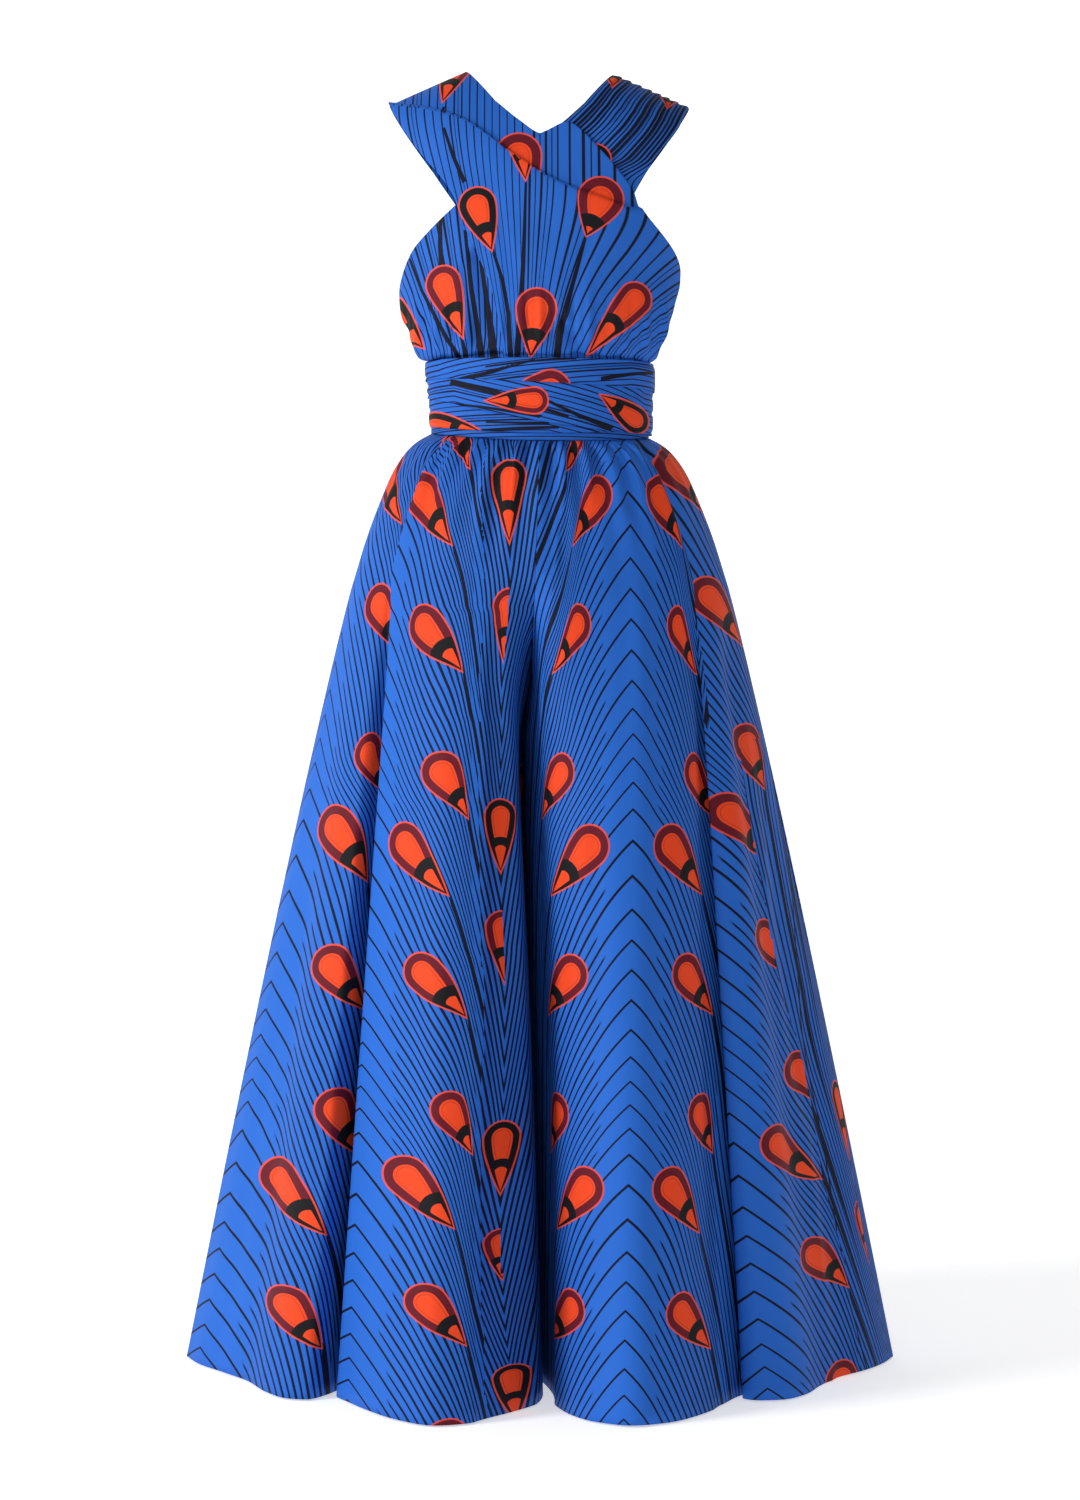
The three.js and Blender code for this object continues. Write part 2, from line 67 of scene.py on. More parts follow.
# Slopes of a smooth line through table rows that never overshoots them.
def slopes(keys, values):
    step = np.diff(values) / np.diff(keys)
    result = np.zeros_like(values)
    result[0], result[-1] = step[0], step[-1]
    before, after = step[:-1], step[1:]
    total = np.where(before + after == 0, 1, before + after)
    result[1:-1] = np.where(before * after > 0, 2 * before * after / total, 0)
    return result


# Values at many places, on the smooth line through the keys' values.
def through(keys, values, places):
    bend = slopes(keys, values)
    place = clamp(places, keys[0], keys[-1])
    i = clamp(np.searchsorted(keys, place, side="left") - 1, 0, len(keys) - 2).astype(int)
    span = keys[i + 1] - keys[i]
    t = (place - keys[i]) / span
    curve = t * (1 - t) * span * ((1 - t) * bend[i] - t * bend[i + 1])
    return mix(values[i], values[i + 1], smooth(t)) + curve


# Numbers from text that has a comma between its rows.
def rows_of(text):
    return np.array([row.split() for row in text.split(",")], dtype=float)


# Rows of numbers under named columns. Places in at() are of the first column.
class Table:
    def __init__(self, names, rows):
        rows = rows_of(rows) if isinstance(rows, str) else np.array(rows)
        self.columns = dict(zip(names.split(), rows.T.copy()))

    def __getitem__(self, name):
        return self.columns[name]

    def at(self, places, name=None):
        keys, second = list(self.columns.values())[:2]
        return through(keys, self.columns[name] if name else second, places)

    def rows(self):
        return [Sizes(**dict(zip(self.columns, row))) for row in zip(*self.columns.values())]


edges = partial(Table, "fromX fromZ toX toZ")
folds = partial(Table, "angle hemX hemDepth")
creases = partial(Table, "top_x top bottom_x bottom width depth")
drops = partial(Table, "x z radius length angle dark layer")
heights = partial(Table, "height value")


# A thick line of the print through some places, with half of its width at both ends.
def stem(half, places, layer=0):
    return Sizes(half=half, places=rows_of(places), layer=layer)


MM = 0.001
TOP = 1480.0  # highest point of the shoulder line above the hem
SEAM = 0.3  # gap between pieces where they are sewn together
CLOTH = 0.9  # thickness of the shown cloth

HIP = 898.0  # the legs flare below this height
WAIST = 1060.0  # mean height of the waist seam
CROTCH = 724.0
SWING_TOP = 860.0  # the rise seam starts to turn back towards the crotch here
SWING_END = 500.0  # the cloth beside the inner corner has turned back by here
FLARE_POWER = 0.92
INNER_X = 2.2  # half of the gap between the two inner leg walls
INNER_PARTING = 40.0
INNER_CORNER = 4
INNER_FOLD = 4  # the fold row at the inner corner of a leg panel
INNER_WAVE = Sizes(depth=9.0, length=300.0, start=790.0, full=705.0, width=70.0)
BACK_SEAM = Sizes(shift=2.5, depth=60.0)  # keeps daylight out of both centre seams

BAND_TOP = 1105.0
SHOULDER_ROUND = 95.0
NECK_X = 85.0
SHOULDER_X = 172.0
SHOULDER_SLOPE = 0.437
NECK_SLOPE = 0.2
SHOULDER_BLEND = Sizes(start=1375.0, full=1445.0)

HIPS = Table("height side front back", """
    898 215 158 163, 945 200 147 151, 988 183 136 138, 1020 168 125 125, 1042 152 114 111, 1053 139 105 100,
    1060 126 94 88""")
BODICE = Table("height side front back power", """
    1060 125 93 87 2, 1105 125 93 87 2, 1148 126 94 88 2, 1151 142 101 90 2, 1158 148 106 92 2,
    1172 152 112 94 2, 1195 159 117 96 2, 1225 163 121 97 2, 1260 163.5 123 99 2.1, 1300 165 118 101 2.3,
    1350 171 106 101 2.7, 1400 179 92 95 3.2, 1450 187 80 85 3.6, 1500 192 72 78 3.8""")
CENTRE_LINE = heights("0 0, 430 -6, 724 -12, 900 -5, 1060 0")
WAIST_SEAM = (1050.0, 1062.0, 1066.0, 1067.0)  # at the front, left, back and right

# Fold lines of each leg panel from the inseam to the side seam.
FOLDS = {
    "left_leg_front": folds("""
        0 0 0, 1.5 3 75, 3 3 150, 4.5 4 215, 6 9 262, 8 23 296, 11 40 326, 16 62 353, 23 97 371, 31 132 358,
        38 166 320, 44 195 270, 48.5 215 226, 50.5 236 200, 51.5 257 195, 52 262 207, 52.5 243 216, 53 224 222,
        54 219 234, 57 236 246, 61 262 242, 66 288 216, 71 312 170, 76 336 128, 81 367 85, 86 394 38, 90 408.7 0"""),
    "right_leg_front": folds("""
        0 0 0, 2 3 75, 4 3 150, 6 4 215, 8.5 9 262, 12 23 294, 16 44 327, 21 72 360, 27 108 371, 34 148 344,
        41 184 294, 46 208 250, 49 221 222, 50 214 201, 50.7 190 184, 51.2 168 172, 51.7 166 159, 52.2 186 155,
        53 213 176, 55 233 218, 58 252 241, 62 272 236, 67 300 200, 72 327 142, 78 352 102, 84 390 45,
        90 408.7 0"""),
    "left_leg_back": folds("""
        0 0 0, 2 3 80, 4 4 160, 6.5 9 232, 10 30 290, 15 60 338, 22 96 366, 30 132 352, 37 158 306, 43 180 262,
        48 205 246, 54 236 266, 60 266 262, 66 292 222, 71 312 170, 76 336 132, 81 368 92, 86 396 42, 90 408.7 0"""),
    "right_leg_back": folds("""
        0 0 0, 2 3 80, 4 4 160, 6.5 8 228, 10 26 276, 15 50 316, 21 84 352, 28 124 362, 35 162 330, 42 190 276,
        47 206 236, 52 228 226, 57 256 246, 63 288 238, 69 318 192, 75 342 140, 81 368 92, 86 394 44, 90 408.7 0"""),
}

# Gathers: their counts and depths, how far they reach, and how uneven they are.
LEG_GATHERS = Sizes(count=36, depth=3.4, reach=105.0, start=12.0, at_seam=0.3, at_side=0.2, fade=(0.75, 1.15))
GATHER_SWAY = Sizes(share=0.45, waves=5, turn=1)
FINE_GATHERS = Sizes(count=97, depth=1.1, reach=42.0, sway=11, even=0.6, uneven=0.4, waves=7, turn=2)
STRAP_GATHERS = Sizes(wave=28.0, sway=23.0, small=11.5, share=0.4, depth=2.4, start=1150.0, peak=1170.0, end=1238.0)
PLEATS = Sizes(count=8, depth=1.7, fade=1375.0, full=1425.0, edge=0.86, uneven=0.1, waves=9)

# Edges of the straps, from the waistband up to the shoulder, from the edge nearer -X to the
# edge nearer +X.
OVER_FRONT = edges("""
    -40 1105.3 123 1105.3, -40 1140 124 1140, -40 1148 124.5 1148, -40.5 1151 131 1151, -41 1158 134 1158,
    -44 1175 139.5 1178, -50 1205 150 1208, -57 1230 156.5 1240, -68 1255 150 1265, -76 1273 113 1306,
    -84 1290 101 1334, -91 1311 68 1376, -98 1328 33 1408, -112 1349 4 1394, -128 1369 -24 1411,
    -143 1390 -50 1434""")
UNDER_FRONT = edges("""
    -123 1105.3 -14 1105.3, -124 1140 -13 1140, -124.5 1148 -13 1148, -137 1151 -11 1151, -142 1158 -8 1158,
    -149 1175 2 1178, -157 1195 13 1198, -161 1222 26 1220, -159 1240 42 1242, -146 1267 58 1264,
    -125 1288 77 1288, -94 1315 99 1314, -70 1337 108 1332, -45 1356 118 1350, -21 1374 129 1368,
    3 1393 141 1385, 27 1411 150 1398, 50 1434 158 1411""")
OVER_BACK = edges("""
    -125 1385 -52 1415, -96 1345 -24 1375, -66 1305 6 1338, -36 1268 38 1300, -4 1234 68 1262, 26 1204 94 1226,
    46 1178 112 1194, 58 1160 122 1166, 66 1148 123 1148, 68 1105.3 123 1105.3""")
OVER_LIFT = Sizes(waist=2.1, chest=3.8, start=1148.0, full=1173.0)
TUCK_LINE = Table("x z", "-172 1442, -96 1418, -23 1366, 22 1338, 96 1312")
TUCK = Sizes(step=6.0, rise=3.0, reach=70.0)

# Creases: soft troughs, or ridges where the depth is below 0, that run from one place across
# a piece to another. They are narrow at the top and widen downwards.
CREASE = Sizes(narrow=0.7, wide=1.5, start=0.12, begun=0.3, end=0.25)
CREASES = {
    "strap_over": creases("""
        20 1194 46 1138 6 4.4, -22 1180 -16 1138 4 2.6, 66 1186 60 1138 5 2.6, 94 1176 84 1138 5 2.2,
        116 1186 104 1140 5 2.4, 60 1290 22 1170 7 1.8, -52 1330 -20 1180 8 1.4"""),
    "strap_under": creases("""
        -72 1266 -53 1138 11 9, -88 1250 -70 1138 5 3.2, -100 1180 -92 1138 4 2.6, -118 1190 -106 1140 4 2.6,
        -134 1196 -116 1144 4 2.4, -84 1330 -76 1210 7 1.6"""),
    "left_leg_front": creases("""
        212 840 322 0 13 7, 60 1056 66 930 7 3.4, 34 1056 30 880 6 3.6, 18 1056 12 820 6 3.2,
        92 1056 104 960 7 2.4, 118 1056 152 900 9 3, 112 900 104 0 15 -2.6, 128 760 126 0 9 1.6,
        150 560 172 60 12 1.8, 60 640 54 90 11 1.4, 300 420 352 0 12 2.6"""),
    "right_leg_front": creases("""
        14 1056 8 800 6 3.4, 32 1056 24 860 6 3.8, 52 1056 48 900 7 3.2, 84 1056 92 950 8 2.8,
        112 1056 140 880 9 3.2, 70 760 78 100 11 1.5, 128 700 150 60 12 1.6, 262 560 330 0 13 2.8,
        300 380 368 0 10 1.6"""),
    "left_leg_back": creases("""
        20 1056 14 850 6 3.4, 48 1056 52 900 7 3.4, 86 1056 104 930 8 2.8, 118 1056 150 900 9 3.2,
        72 720 84 60 12 1.8, 250 520 318 0 13 2.8"""),
    "right_leg_back": creases("""
        16 1056 10 840 6 3.6, 42 1056 44 890 7 3.2, 76 1056 88 940 8 3, 110 1056 146 880 9 3.2,
        100 700 112 80 12 1.8, 262 500 334 0 13 2.6"""),
}

# Sharp folds of a leg, between two of its fold rows: the cloth stands forward up to a line and
# drops back past it, and is even again at a distance before and after. A last row of -1 is
# the panel's end.
def sharp_fold(line, rows=(0, -1), **sizes):
    return Sizes(line=heights(line), rows=rows, **sizes)


BACK_TURN = dict(before=60, forward=7, back=7, after=40, top=860, full=600)
TURNS = {
    "left_leg_front": [
        sharp_fold("0 184, 60 182, 260 176, 390 174, 720 171, 860 150", rows=(0, 14),
                   before=60, forward=9, back=9, after=34, top=860, full=700),
        sharp_fold("0 331, 250 306, 330 286, 470 269, 640 248, 800 226", rows=(18, -1),
                   before=50, forward=5, back=13, after=52, top=800, full=560),
    ],
    "right_leg_front": [
        sharp_fold("0 66, 300 60, 600 58, 800 55, 900 50",
                   before=40, forward=2, back=7, after=-34, top=900, full=700),
    ],
    "left_leg_back": [sharp_fold("0 150, 700 120, 900 96", **BACK_TURN)],
    "right_leg_back": [sharp_fold("0 176, 700 136, 900 104", **BACK_TURN)],
}
TURN_WIDTH = 7.0
TURN_AT_HEM = Sizes(share=0.35, height=200.0)

LEG_COLUMNS = 210
LEG_ROWS = 118
ROW_POWER = 1.35  # draws the rows of a leg's grid closer together at the waist
STRAP_COLUMNS = 110
ROWS_BETWEEN = 9  # rows added between two rows of a strap's table
SHOULDER_STEPS = 22
RING_COLUMNS = 300
RING_ROWS = 21
RING_REACH = 110.0  # mean distance of the rings from the middle
CREASES_FADE = Sizes(inseam=0.03, side=0.02)  # shares of the hem beside a seam

# The print. Half of a repeat across runs from a chevron's point at 0 to the axis of the
# upright drops. Heights of the drops are up from the hem, along the cloth.
HALF_REPEAT = 0.25
PRINT_MARKS = [0, 0.074, 0.125, 0.25]  # a point, a middle drop's head, a drop's tip, the upright drops
TIP = 2  # the drop's tip among the marks
REPEAT = 0.365
BARBS = 12  # chevrons in a repeat
LEG_DROPS = Table("across height radius length angle dark half", """
    0.098 0.3525 0.0225 0.06 56 0 0, 0.049 0.2772 0.0235 0.077 46 0 0, 0.074 0.1408 0.0222 0.069 47 0 0,
    0.25 0.318 0.0195 0.075 90 1 0, 0.25 0.18 0.0185 0.062 90 0 1""")
SLANTED_DROPS = 3  # the first drops of that table, which have stems at their tips
DROP_MIDDLE = 0.35  # the share of its length at which a drop has its middle
DROP_NARROW = 1.6  # how much more a distance across a drop counts than one along it
STEM = Sizes(start=0.7, ahead=0.003, half=0.0022, growth=0.016, end=0.24, fade=0.045, gone=-0.0005)
STEM_END = 1.5  # how far a listed stem reaches past its ends
OUT_OF_SIGHT = 0.5  # moves a drop's places off its piece


# A part of a leg's print, up to a fold row: the line on which the chevrons' points stand, as
# sideways places or as distances past the side seam, the marks' distances from it, and how
# far the print is lowered. A fold may hide some cloth, at a distance or at a share of the way
# to the upright drops. The print is raised beyond it.
def part(until, places, **others):
    facts = {"lower": "0 0, 1060 0", "line": None, "past_side": None, "fold": None, "hides": None, "beyond": None}
    facts = {name: heights(rows) if isinstance(rows, str) else rows for name, rows in {**facts, **others}.items()}
    return Sizes(until=until, places=Table("height near far axis", places), **facts)


PRINT_PARTS = {
    "left_leg_front": [
        part(
            17, line="0 89, 60 90, 289 95, 520 98.5, 749 102, 877 101, 1024 100.5, 1060 100",
            places="""
                0 0.06 0.107 0.19, 110 0.061 0.105 0.19, 240 0.069 0.102 0.195, 420 0.067 0.11 0.2,
                600 0.068 0.104 0.2, 680 0.06 0.093 0.21, 840 0.056 0.078 0.22, 1000 0.05 0.066 0.18""",
        ),
        part(
            26, lower="0 0.032, 1060 0.032", line="0 247, 346 201, 900 106, 1060 96",
            fold="0 0.15, 84 0.15, 214 0.13, 338 0.122, 450 0.104, 600 0.107, 700 0.112, 760 0.3, 1060 0.3",
            beyond="0 0.01, 165 0.01, 302 0.004, 1060 0",
            places="""
                0 0.089 0.147 0.222, 131 0.098 0.153 0.205, 271 0.083 0.148 0.193, 338 0.086 0.137 0.189,
                470 0.093 0.13 0.207, 630 0.106 0.15 0.25, 714 0.097 0.16 0.28, 868 0.0955 0.158 0.29,
                1015 0.096 0.132 0.25""",
        ),
    ],
    "right_leg_front": [
        part(
            15, lower="0 0.02, 120 0.014, 316 0.01, 460 0.003, 1060 0", hides=0.38,
            line="0 207, 520 190, 1000 173, 1060 171",
            beyond="0 -0.105, 37 -0.092, 179 -0.022, 294 0, 510 -0.009, 630 0.011, 860 0.02, 1009 0.021, 1060 0.021",
            places="""
                0 0.103 0.157 0.204, 120 0.1 0.148 0.184, 240 0.1 0.141 0.173, 316 0.091 0.137 0.171,
                457 0.075 0.129 0.165, 600 0.07 0.116 0.156, 680 0.059 0.112 0.154, 844 0.053 0.106 0.154,
                992 0.061 0.093 0.142""",
        ),
        part(
            26, lower="0 -0.013, 225 -0.013, 305 0, 457 0.004, 620 0.018, 868 0.024, 1060 0.024",
            past_side="0 -43, 200 -41, 400 -37, 520 -34, 700 -30, 850 -20, 945 -2, 1015 20, 1060 34",
            places="""
                0 0.152 0.212 0.325, 97 0.152 0.211 0.325, 225 0.138 0.197 0.315, 305 0.128 0.183 0.3,
                457 0.111 0.163 0.28, 551 0.107 0.148 0.265, 620 0.102 0.144 0.26, 700 0.074 0.111 0.22,
                868 0.066 0.103 0.2, 1015 0.052 0.086 0.185""",
        ),
    ],
}
BACK_PLACES = "0 0.08 0.135 0.26, 1060 0.06 0.1 0.2"
PRINT_PARTS["left_leg_back"] = [part(18, BACK_PLACES, lower="0 0.1, 1060 0.1", line="0 100, 1060 82")]
PRINT_PARTS["right_leg_back"] = [part(18, BACK_PLACES, lower="0 0.23, 1060 0.23", line="0 118, 1060 96")]
LENGTHWISE = (0.022, 1.107, -0.114)  # metres of cloth at a height: at the hem, per metre, and its easing
LINE_STRETCH = 1.15  # cloth per distance before a part's first point

# How much of a front panel's depth counts in its distances across, at some of its fold rows.
# The print keeps its looks from the front where the cloth turns away.
DEPTH_SHARES = Table("row share", "3 1, 4 0.3, 5 0.3, 6 0.35, 7 0.45, 10 0.5, 16 0.4, 21 0.4, 24 0.8, 26 1")
SQUEEZE = 1.5  # how much tighter the print gets between a far place and a fold


def edge_height(edge, angle):
    front, left, back, right = edge
    mean = (front + left + back + right) / 4
    across = ((left - right) / 2) * np.sin(angle)
    along = ((front - back) / 2) * np.cos(angle)
    twice = ((front + back - left - right) / 4) * np.cos(2 * angle)
    return mean + across + along + twice


def hem_shares(fold):
    steps = np.hypot(np.diff(fold["hemX"]), np.diff(fold["hemDepth"]))
    return np.concatenate([[0], np.cumsum(steps)]) / np.sum(steps)


# Places of a leg panel before its gathers, for a grid of hem shares and heights.
def leg_outline(panel, share, height):
    angle, hem_x, hem_depth = (
        through(panel.shares, panel.fold[name], share) for name in ("angle", "hemX", "hemDepth")
    )
    angle = np.radians(angle)
    flare = clamp((HIP - height) / HIP) ** FLARE_POWER
    x = mix(HIPS.at(height, "side") * np.sin(angle), hem_x, flare)
    depth = mix(HIPS.at(height, panel.face) * np.cos(angle), hem_depth, flare)
    return Sizes(angle=angle, x=x, depth=depth, hem_depth=hem_depth)


# The cloth inside the inner corner swings back under the rise seam into the inner wall.
def swing_back(panel, share, height, point):
    inner = panel.shares[INNER_FOLD]
    corner = leg_outline(panel, np.full_like(height, inner), height)
    portion = clamp(share / inner)
    swing = clamp((SWING_TOP - height) / (SWING_TOP - mix(CROTCH, SWING_END, portion))) ** 2
    wall_x = INNER_X * smooth((CROTCH - height) / INNER_PARTING)
    x = mix(point.x, mix(wall_x, corner.x, portion ** INNER_CORNER), swing)
    back = corner.depth * point.hem_depth / corner.hem_depth
    inside = share < inner
    return np.where(inside, x, point.x), np.where(inside, mix(point.depth, back, swing), point.depth)


def leg_gather(angle, below):
    main, fine = LEG_GATHERS, FINE_GATHERS
    sway = 1 + GATHER_SWAY.share * np.sin(GATHER_SWAY.waves * angle + GATHER_SWAY.turn)
    start = mix(main.at_seam, 1, smooth(below / main.start)) * mix(1, main.at_side, rise(angle, *main.fade))
    large = main.depth * np.cos(main.count * angle) * sway * start * np.exp(-((below / main.reach) ** 2))
    uneven = fine.even + fine.uneven * np.sin(fine.waves * angle + fine.turn)
    small = fine.depth * np.cos(fine.count * angle + np.sin(fine.sway * angle)) * uneven
    return large + small * start * np.exp(-((below / fine.reach) ** 2))


def centre_drift(height, y):
    wave = INNER_WAVE.depth * np.sin(2 * np.pi * y / INNER_WAVE.length)
    wave = wave * rise(height, INNER_WAVE.start, INNER_WAVE.full)
    return CENTRE_LINE.at(height) + wave + BACK_SEAM.shift * smooth(y / BACK_SEAM.depth)


# How far the sharp folds move a leg's cloth forward.
def turn_depth(turns, shares, share, x, height):
    total = np.zeros(x.shape)
    for turn in turns:
        first, last = turn.rows
        own = (share >= shares[first]) & ((share < shares[last]) | (last < 0))
        past = np.sign(turn.after) * (x - turn.line.at(height))
        before = turn.forward * smooth(1 + past / turn.before)
        fall = mix(turn.forward, -turn.back, smooth(past / TURN_WIDTH))
        fall = fall * smooth(1 - (past - TURN_WIDTH) / abs(turn.after))
        window = rise(height, turn.top, turn.full)
        window = window * mix(TURN_AT_HEM.share, 1, smooth(height / TURN_AT_HEM.height))
        total = total + np.where(past < 0, before, fall) * window * own
    return total


def crease_depth(table, x, height):
    total = np.zeros(x.shape)
    for row in table.rows():
        along = (row.top - height) / (row.top - row.bottom)
        middle = mix(row.top_x, row.bottom_x, along)
        width = row.width * mix(CREASE.narrow, CREASE.wide, clamp(along))
        ends = smooth(along / CREASE.start + CREASE.begun)
        if row.bottom > 0:
            ends = ends * smooth((1 - along) / CREASE.end)
        total = total + row.depth * np.exp(-(((x - middle) / width) ** 2)) * ends
    return total


def grid_normals(grid):
    normals = np.cross(np.gradient(grid, axis=1), np.gradient(grid, axis=0))
    return normals / np.maximum(np.linalg.norm(normals, axis=2, keepdims=True), 1e-9)


# The grid of a leg panel's outer face, in millimetres, and what its print needs.
def leg_grid(name):
    side = 1 if name.startswith("left") else -1
    is_back = name.endswith("back")
    shares = hem_shares(FOLDS[name])
    panel = Sizes(fold=FOLDS[name], shares=shares, face="back" if is_back else "front")
    rows = WAIST * (1 - np.linspace(0, 1, LEG_ROWS) ** ROW_POWER)
    height, share = np.meshgrid(rows, np.linspace(0, 1, LEG_COLUMNS), indexing="ij")
    base = leg_outline(panel, share, height)
    angle = base.angle
    bare_x, bare_depth = swing_back(panel, share, height, base)
    depth = bare_depth + turn_depth(TURNS[name], shares, share, bare_x, height)
    dip = edge_height(WAIST_SEAM, side * (np.pi - angle if is_back else angle)) - WAIST
    gather = leg_gather(angle, WAIST - height)
    x = bare_x + gather * np.sin(angle)
    depth = depth + gather * np.cos(angle)
    facing = 1 if is_back else -1
    drift = centre_drift(height, facing * depth) * np.exp(-((x / INNER_WAVE.width) ** 2))
    z = height + dip * clamp((height - HIP) / (WAIST - HIP))
    points = np.stack([side * (x + SEAM / 2) + drift, facing * (depth + SEAM / 2), z], axis=2)
    inward = side * facing
    off_seams = smooth((share - shares[INNER_FOLD]) / CREASES_FADE.inseam)
    off_seams = off_seams * smooth((1 - share) / CREASES_FADE.side)
    sunk = crease_depth(CREASES[name], bare_x, height) * off_seams
    points = points - grid_normals(points) * inward * sunk[..., None]
    return Sizes(
        points=points, share=share, shares=shares, height=height, x=bare_x, depth=bare_depth, flip=inward < 0,
    )


def lengthwise(height):
    z = height * MM
    return LENGTHWISE[0] + LENGTHWISE[1] * z + LENGTHWISE[2] * z * z


# Distance along each row of a panel at which its print line stands.
def line_place(arc, x, line_x, first, last):
    result = np.empty(len(arc))
    for r in range(len(arc)):
        a, across = arc[r, first:last], x[r, first:last]
        turn = np.argmax(across) if first == 0 else len(across) - 1
        start = 0 if first == 0 else int(np.argmin(across[: max(2, len(across) // 2)]))
        a, across = a[start : turn + 1], np.maximum.accumulate(across[start : turn + 1])
        across = across + np.arange(len(across)) * 1e-6
        result[r] = np.interp(line_x[r], across, a)
        result[r] += max(line_x[r] - across[-1], 0) - max(across[0] - line_x[r], 0) * LINE_STRETCH
    return result


# The print's places across the cloth, where its marks stand at distances from the chevrons'
# points that differ with the height.
def eased_across(distance, places, levels):
    marks = [places.at(levels, name) for name in ("near", "far", "axis")]
    result = np.empty_like(distance)
    for r, row_marks in enumerate(zip(*marks)):
        size = np.abs(distance[r])
        inside = through(np.array([0, *row_marks]), np.array(PRINT_MARKS), size)
        result[r] = np.sign(distance[r]) * (inside + np.maximum(size - row_marks[-1], 0))
    return result


# Places across in a part with a fold that hides some of its cloth: those up to the fold,
# those past it, and how far each point is past the fold.
def folded_across(own, away, across, height):
    size, sense = np.abs(away) * MM, np.sign(away)
    far, axis = own.places.at(height, "far"), own.places.at(height, "axis")
    fold = mix(far, axis, own.hides) if own.fold is None else own.fold.at(height)
    before = np.where(size > far, PRINT_MARKS[TIP] + (size - far) * SQUEEZE, np.abs(across))
    return sense * before, sense * (HALF_REPEAT + size - axis), size - fold


# Metres of cloth across and along, at the corners of every cell.
def leg_print(name, grid):
    columns, height = grid.share[0], grid.height
    weight = 1.0
    if name.endswith("front"):
        rows = grid.shares[DEPTH_SHARES["row"].astype(int)]
        weight = np.interp((columns[:-1] + columns[1:]) / 2, rows, DEPTH_SHARES["share"])
    steps = np.hypot(np.diff(grid.x, axis=1), np.diff(grid.depth, axis=1) * weight)
    arc = np.concatenate([np.zeros((len(steps), 1)), np.cumsum(steps, axis=1)], axis=1)
    u, v = cell_corners(np.zeros_like(arc)), cell_corners(np.zeros_like(arc))
    first = 0
    for own in PRINT_PARTS[name]:
        last = min(int(np.searchsorted(columns, grid.shares[own.until])) + 1, len(columns))
        if own.line:
            place = line_place(arc, grid.x, own.line.at(height[:, 0]), first, last)
        else:
            place = arc[:, -1] + own.past_side.at(height[:, 0])
        away = arc - place[:, None]
        across = eased_across(away * MM, own.places, height[:, 0])
        along = lengthwise(height) - own.lower.at(height)
        cut = slice(first, last - 1)
        u[:, cut], v[:, cut] = cell_corners(across)[:, cut], cell_corners(along)[:, cut]
        if own.beyond:
            places = folded_across(own, away, across, height)
            before, beyond, past = (cell_corners(values)[:, cut] for values in places)
            is_past = past.mean(axis=2, keepdims=True) > 0
            u[:, cut] = np.where(is_past, beyond, before)
            v[:, cut] = np.where(is_past, cell_corners(along + own.beyond.at(height))[:, cut], v[:, cut])
        first = last - 1
    return u.reshape(-1, 4), v.reshape(-1, 4)


# How far a chevron's arm has dropped at a distance from its point. Also for shader nodes.
def barb_drop(m):
    return m * (m * (m * m * 25.0 + 7.5) + 0.85)


def barb_slope(m):
    return m * (m * m * 100.0 + 15.0) + 0.85


# Places measured in a drop's or stem's own directions: along towards its tip, and across.
def turned(x, z, tip):
    return x * tip[0] + z * tip[1], x * tip[1] - z * tip[0]


# For each cell, what the nearest of several drops or lines says at its corners.
class Nearest:
    def __init__(self, count, start=0.0):
        self.distance = np.full(count, np.inf)
        self.local = np.full((count, 4, 2), start)
        self.motif = np.zeros((count, 4, 2))

    def offer(self, distance, local, allowed=True, motif=0.0):
        better = (distance < self.distance) & allowed
        self.distance = np.where(better, distance, self.distance)
        self.local[better] = np.stack(local, axis=2)[better]
        self.motif[better] = motif


# The nearest drop of the print: a cell's corners' places in that drop's own directions, and
# the drop's radius and length. A dark drop's length is 1 longer.
def nearest_leg_drop(u, v):
    centre_u, centre_v = u.mean(axis=1), v.mean(axis=1)
    nearest = Nearest(len(u))
    for d in LEG_DROPS.rows():
        for side in (1, -1):
            a = math.radians(d.angle)
            tip = (side * math.cos(a), -math.sin(a))
            head_u = side * d.across
            head_u = head_u + np.round((centre_u - head_u) / (2 * HALF_REPEAT)) * 2 * HALF_REPEAT
            middle_v = d.height + tip[1] * d.length * DROP_MIDDLE
            lift = np.round((centre_v - middle_v) / REPEAT) * REPEAT
            du = centre_u - (head_u + tip[0] * d.length * DROP_MIDDLE)
            along, across = turned(du, centre_v - middle_v - lift, tip)
            local = np.array(turned(u - head_u[:, None], v - (d.height + lift)[:, None], tip))
            if d.half:
                local = local + ((np.abs(centre_u) > HALF_REPEAT) * 1.0)[:, None]
            nearest.offer(np.hypot(along, across * DROP_NARROW), local, motif=(d.radius, d.length + d.dark))
    return nearest


# The corners' distance from the thick line that leaves the nearest drop's tip, and half of
# that line's width.
def nearest_leg_stem(u, v):
    m = HALF_REPEAT - np.abs(np.mod(u, 2 * HALF_REPEAT) - HALF_REPEAT)
    nearest = Nearest(len(u))
    for d in LEG_DROPS.rows()[:SLANTED_DROPS]:
        a = math.radians(d.angle)
        tip_m = d.across + math.cos(a) * d.length
        tip_v = d.height - math.sin(a) * d.length
        offset = v + barb_drop(m) - tip_v - barb_drop(tip_m)
        offset = offset - np.round(offset.mean(axis=1, keepdims=True) / REPEAT) * REPEAT
        past = m - tip_m
        half = np.minimum(STEM.start * (past + STEM.ahead), STEM.half + STEM.growth * past)
        half = mix(STEM.gone, half, smooth((STEM.end - m) / STEM.fade))
        nearest.offer(np.abs(offset.mean(axis=1)), [offset / np.sqrt(1 + barb_slope(m) ** 2), half])
    return nearest.local
